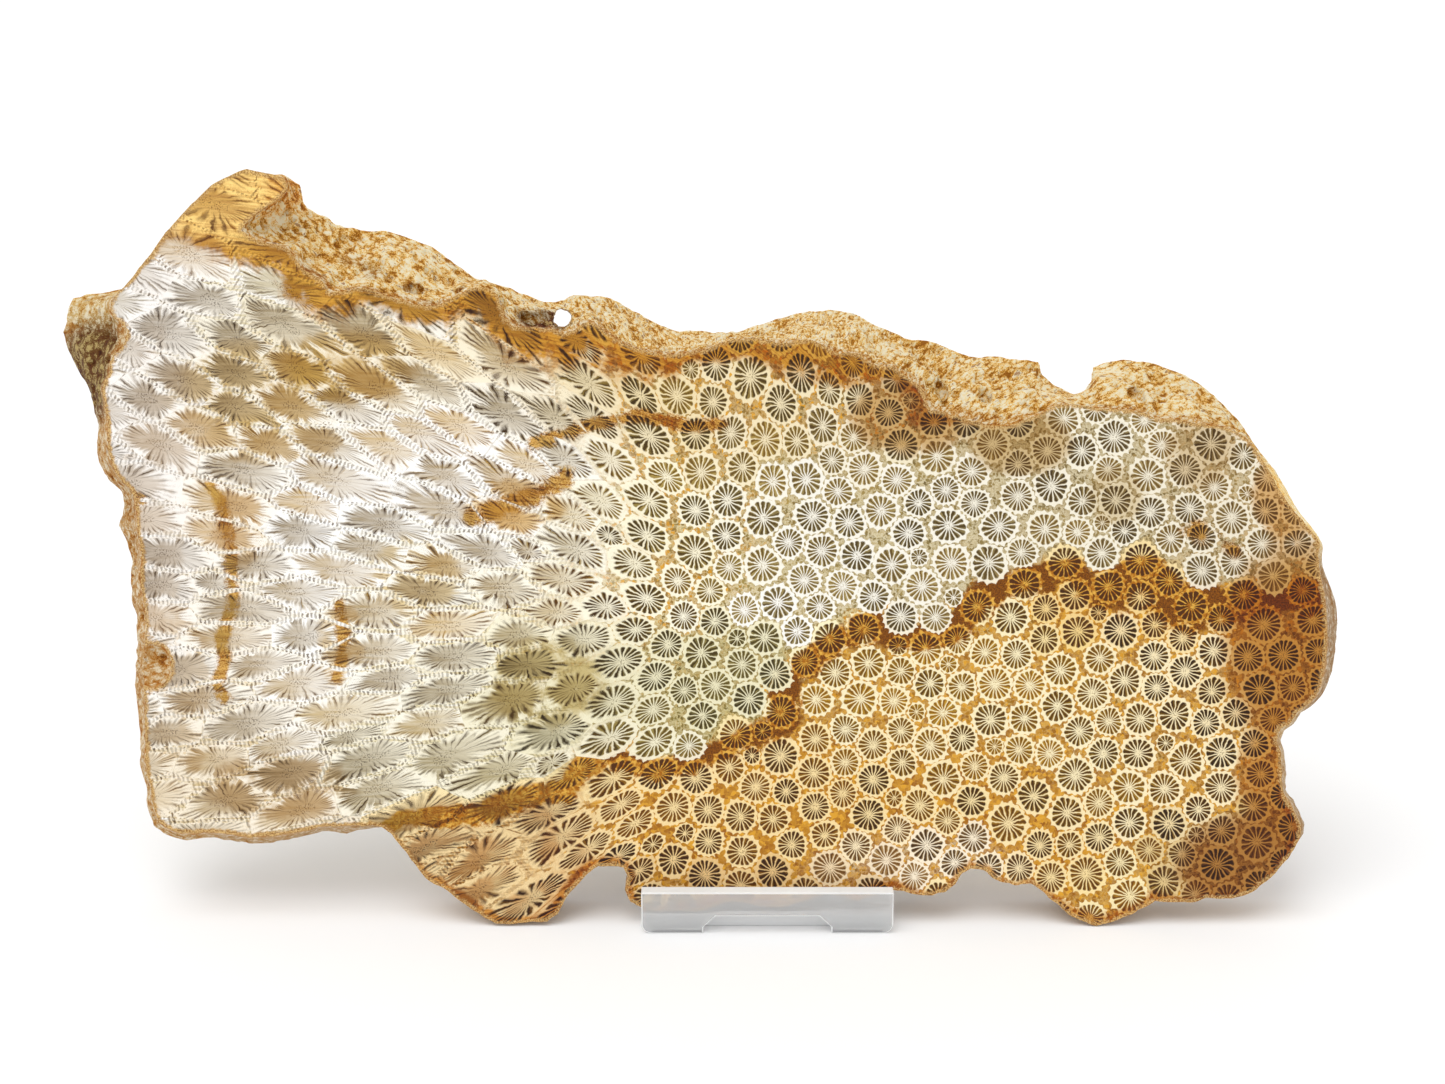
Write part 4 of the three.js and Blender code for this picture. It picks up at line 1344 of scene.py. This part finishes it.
def build_slab():
    """The whole slice as one closed mesh."""
    skin = Skin()
    colony = Colony(skin.points[np.unique(skin.front_rim)][:, :2], COLONY_SEED)
    faces = [
        SawnFace(skin, skin.front_rim, 0.0, colony, 1.0),
        SawnFace(skin, skin.back_rim, THICKNESS, colony, BACK_SHRINK),
    ]
    points, triangles, material = closed_slab(skin, faces)
    mesh = bpy.data.meshes.new("coral_slab")
    mesh.from_pydata(to_world(points).tolist(), [], triangles.tolist())
    mesh.polygons.foreach_set("material_index", material)
    mesh.polygons.foreach_set("use_smooth", material == SKIN_MATERIAL)
    mark_sharp(mesh, np.vstack([skin.front_rim, skin.back_rim]))
    mesh.materials.append(SawnCoral("coral_polished", 0.16).material)
    mesh.materials.append(crust_stone())
    mesh.materials.append(SawnCoral("coral_sawn", 0.42).material)
    store_values(mesh, skin, faces, points)
    mesh.validate()
    return add_object("coral_slab", mesh)


def mark_sharp(mesh, rim):
    """Keeps the shading crisp where the sawn faces meet the skin."""
    keys = {tuple(sorted(pair)) for pair in rim.tolist()}
    sharp = [tuple(sorted(edge.vertices)) in keys for edge in mesh.edges]
    layer = mesh.attributes.new("sharp_edge", "BOOLEAN", "EDGE")
    layer.data.foreach_set("value", sharp)


# ---- The clear stand ----------------------------------------------------------------------------

def clear_acrylic(name, roughness, clearness):
    """Clearness is the share of light let through; the rest is white diffuse colour, painted light
    that stands in for the light reaching the table through the sheet, which keeps the sheet from
    rendering dark.
    """
    sheet = Sheet(name)
    place = sheet.node("ShaderNodeTexCoord").outputs["Object"]
    haze = sheet.noise(place, 260.0, 3.0, 0.6)
    return sheet.surface(
        base_color=(0.985, 0.992, 0.995, 1.0),
        roughness=haze * 0.02 + roughness,
        transmission_weight=clearness,
        ior=1.49,
    )


def stand_piece(node, across, clear, sawn):
    """The node's own shape with softened edges; its sheet is clear with a share of painted light,
    and its sawn edges are satin, whitened partly by a painted highlight.

    The sheet's thickness runs along the axis called across.
    """
    shape = bmesh.new()
    shape.from_mesh(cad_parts[node].data)
    bmesh.ops.remove_doubles(shape, verts=shape.verts, dist=0.002 * MM)
    bmesh.ops.dissolve_limit(
        shape, angle_limit=math.radians(1), verts=shape.verts, edges=shape.edges)
    sharp = [edge for edge in shape.edges if edge.calc_face_angle(0.0) > math.radians(25)]
    bmesh.ops.bevel(
        shape, geom=sharp, offset=SHEET_BEVEL * MM, offset_type="OFFSET", segments=2, profile=0.5,
        affect="EDGES", clamp_overlap=True)
    for face in shape.faces:
        face.smooth = False
        face.material_index = 0 if abs(face.normal[across]) > 0.95 else 1
    mesh = bpy.data.meshes.new(node + "_clear")
    shape.to_mesh(mesh)
    shape.free()
    mesh.materials.append(clear)
    mesh.materials.append(sawn)
    piece = add_object(node + "_clear", mesh)
    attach(piece, "root")
    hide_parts(node)


def add_stand():
    x, y, z = range(3)
    clear = clear_acrylic("acrylic_sheet", 0.01, 0.7)
    # The base is in the slab's shade, so it gets a larger share of white, painted light; the sawn
    # edges' whiteness is partly their satin finish and partly a painted highlight.
    base_sheet_painted_light = clear_acrylic("acrylic_lying_sheet", 0.01, 0.35)
    sawn = clear_acrylic("acrylic_sawn_edge", 0.4, 0.25)
    stand_piece("stand_lip", y, clear, sawn)
    stand_piece("stand_base", z, base_sheet_painted_light, sawn)
    stand_piece("stand_fin_left", x, clear, sawn)
    stand_piece("stand_fin_right", x, clear, sawn)


# ---- Stage --------------------------------------------------------------------------------------

CAMERA_PLACE = (0.00464, -0.41775, 0.1925)  # metres
CAMERA_LENS = 53.56
FLOOR_REACH = 12.0  # metres from the middle to each side
SKY_STRENGTH = 0.84
SUN_STRENGTH = 1.2
SUN_WIDTH = math.radians(50)
TO_SUN = (-0.25, -0.3, 0.92)


def add_camera():
    """The photograph's view: square on to the leaning face, from straight in front of it."""
    data = bpy.data.cameras.new("camera")
    data.sensor_width = 36.0
    data.lens = CAMERA_LENS
    camera = add_object("camera", data)
    camera.location = CAMERA_PLACE
    camera.rotation_euler = (math.pi / 2 - LEAN, 0.0, 0.0)
    bpy.context.scene.camera = camera


def add_floor():
    sheet = Sheet("floor_white")
    sheet.surface(base_color=(0.92, 0.92, 0.92, 1.0), roughness=0.9, specular_ior_level=0.1)
    mesh = bpy.data.meshes.new("floor")
    grid = bmesh.new()
    bmesh.ops.create_grid(grid, x_segments=1, y_segments=1, size=FLOOR_REACH)
    grid.to_mesh(mesh)
    grid.free()
    mesh.materials.append(sheet.material)
    floor = add_object("floor", mesh)


def add_light():
    """Even white light from all round, and one wide soft lamp from above at the front left."""
    scene = bpy.context.scene
    world = bpy.data.worlds.new("white_studio")
    world.use_nodes = True
    background = world.node_tree.nodes["Background"]
    background.inputs["Color"].default_value = (1.0, 1.0, 1.0, 1.0)
    background.inputs["Strength"].default_value = SKY_STRENGTH
    scene.world = world
    data = bpy.data.lights.new("soft_sun", "SUN")
    data.energy = SUN_STRENGTH
    data.angle = SUN_WIDTH
    sun = add_object("soft_sun", data)
    sun.rotation_euler = Vector(TO_SUN).to_track_quat("Z", "Y").to_euler()
    scene.view_settings.view_transform = "Standard"


add_camera()
add_floor()
add_light()
slab = build_slab()
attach(slab, "root")
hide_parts("coral_slice")
add_stand()
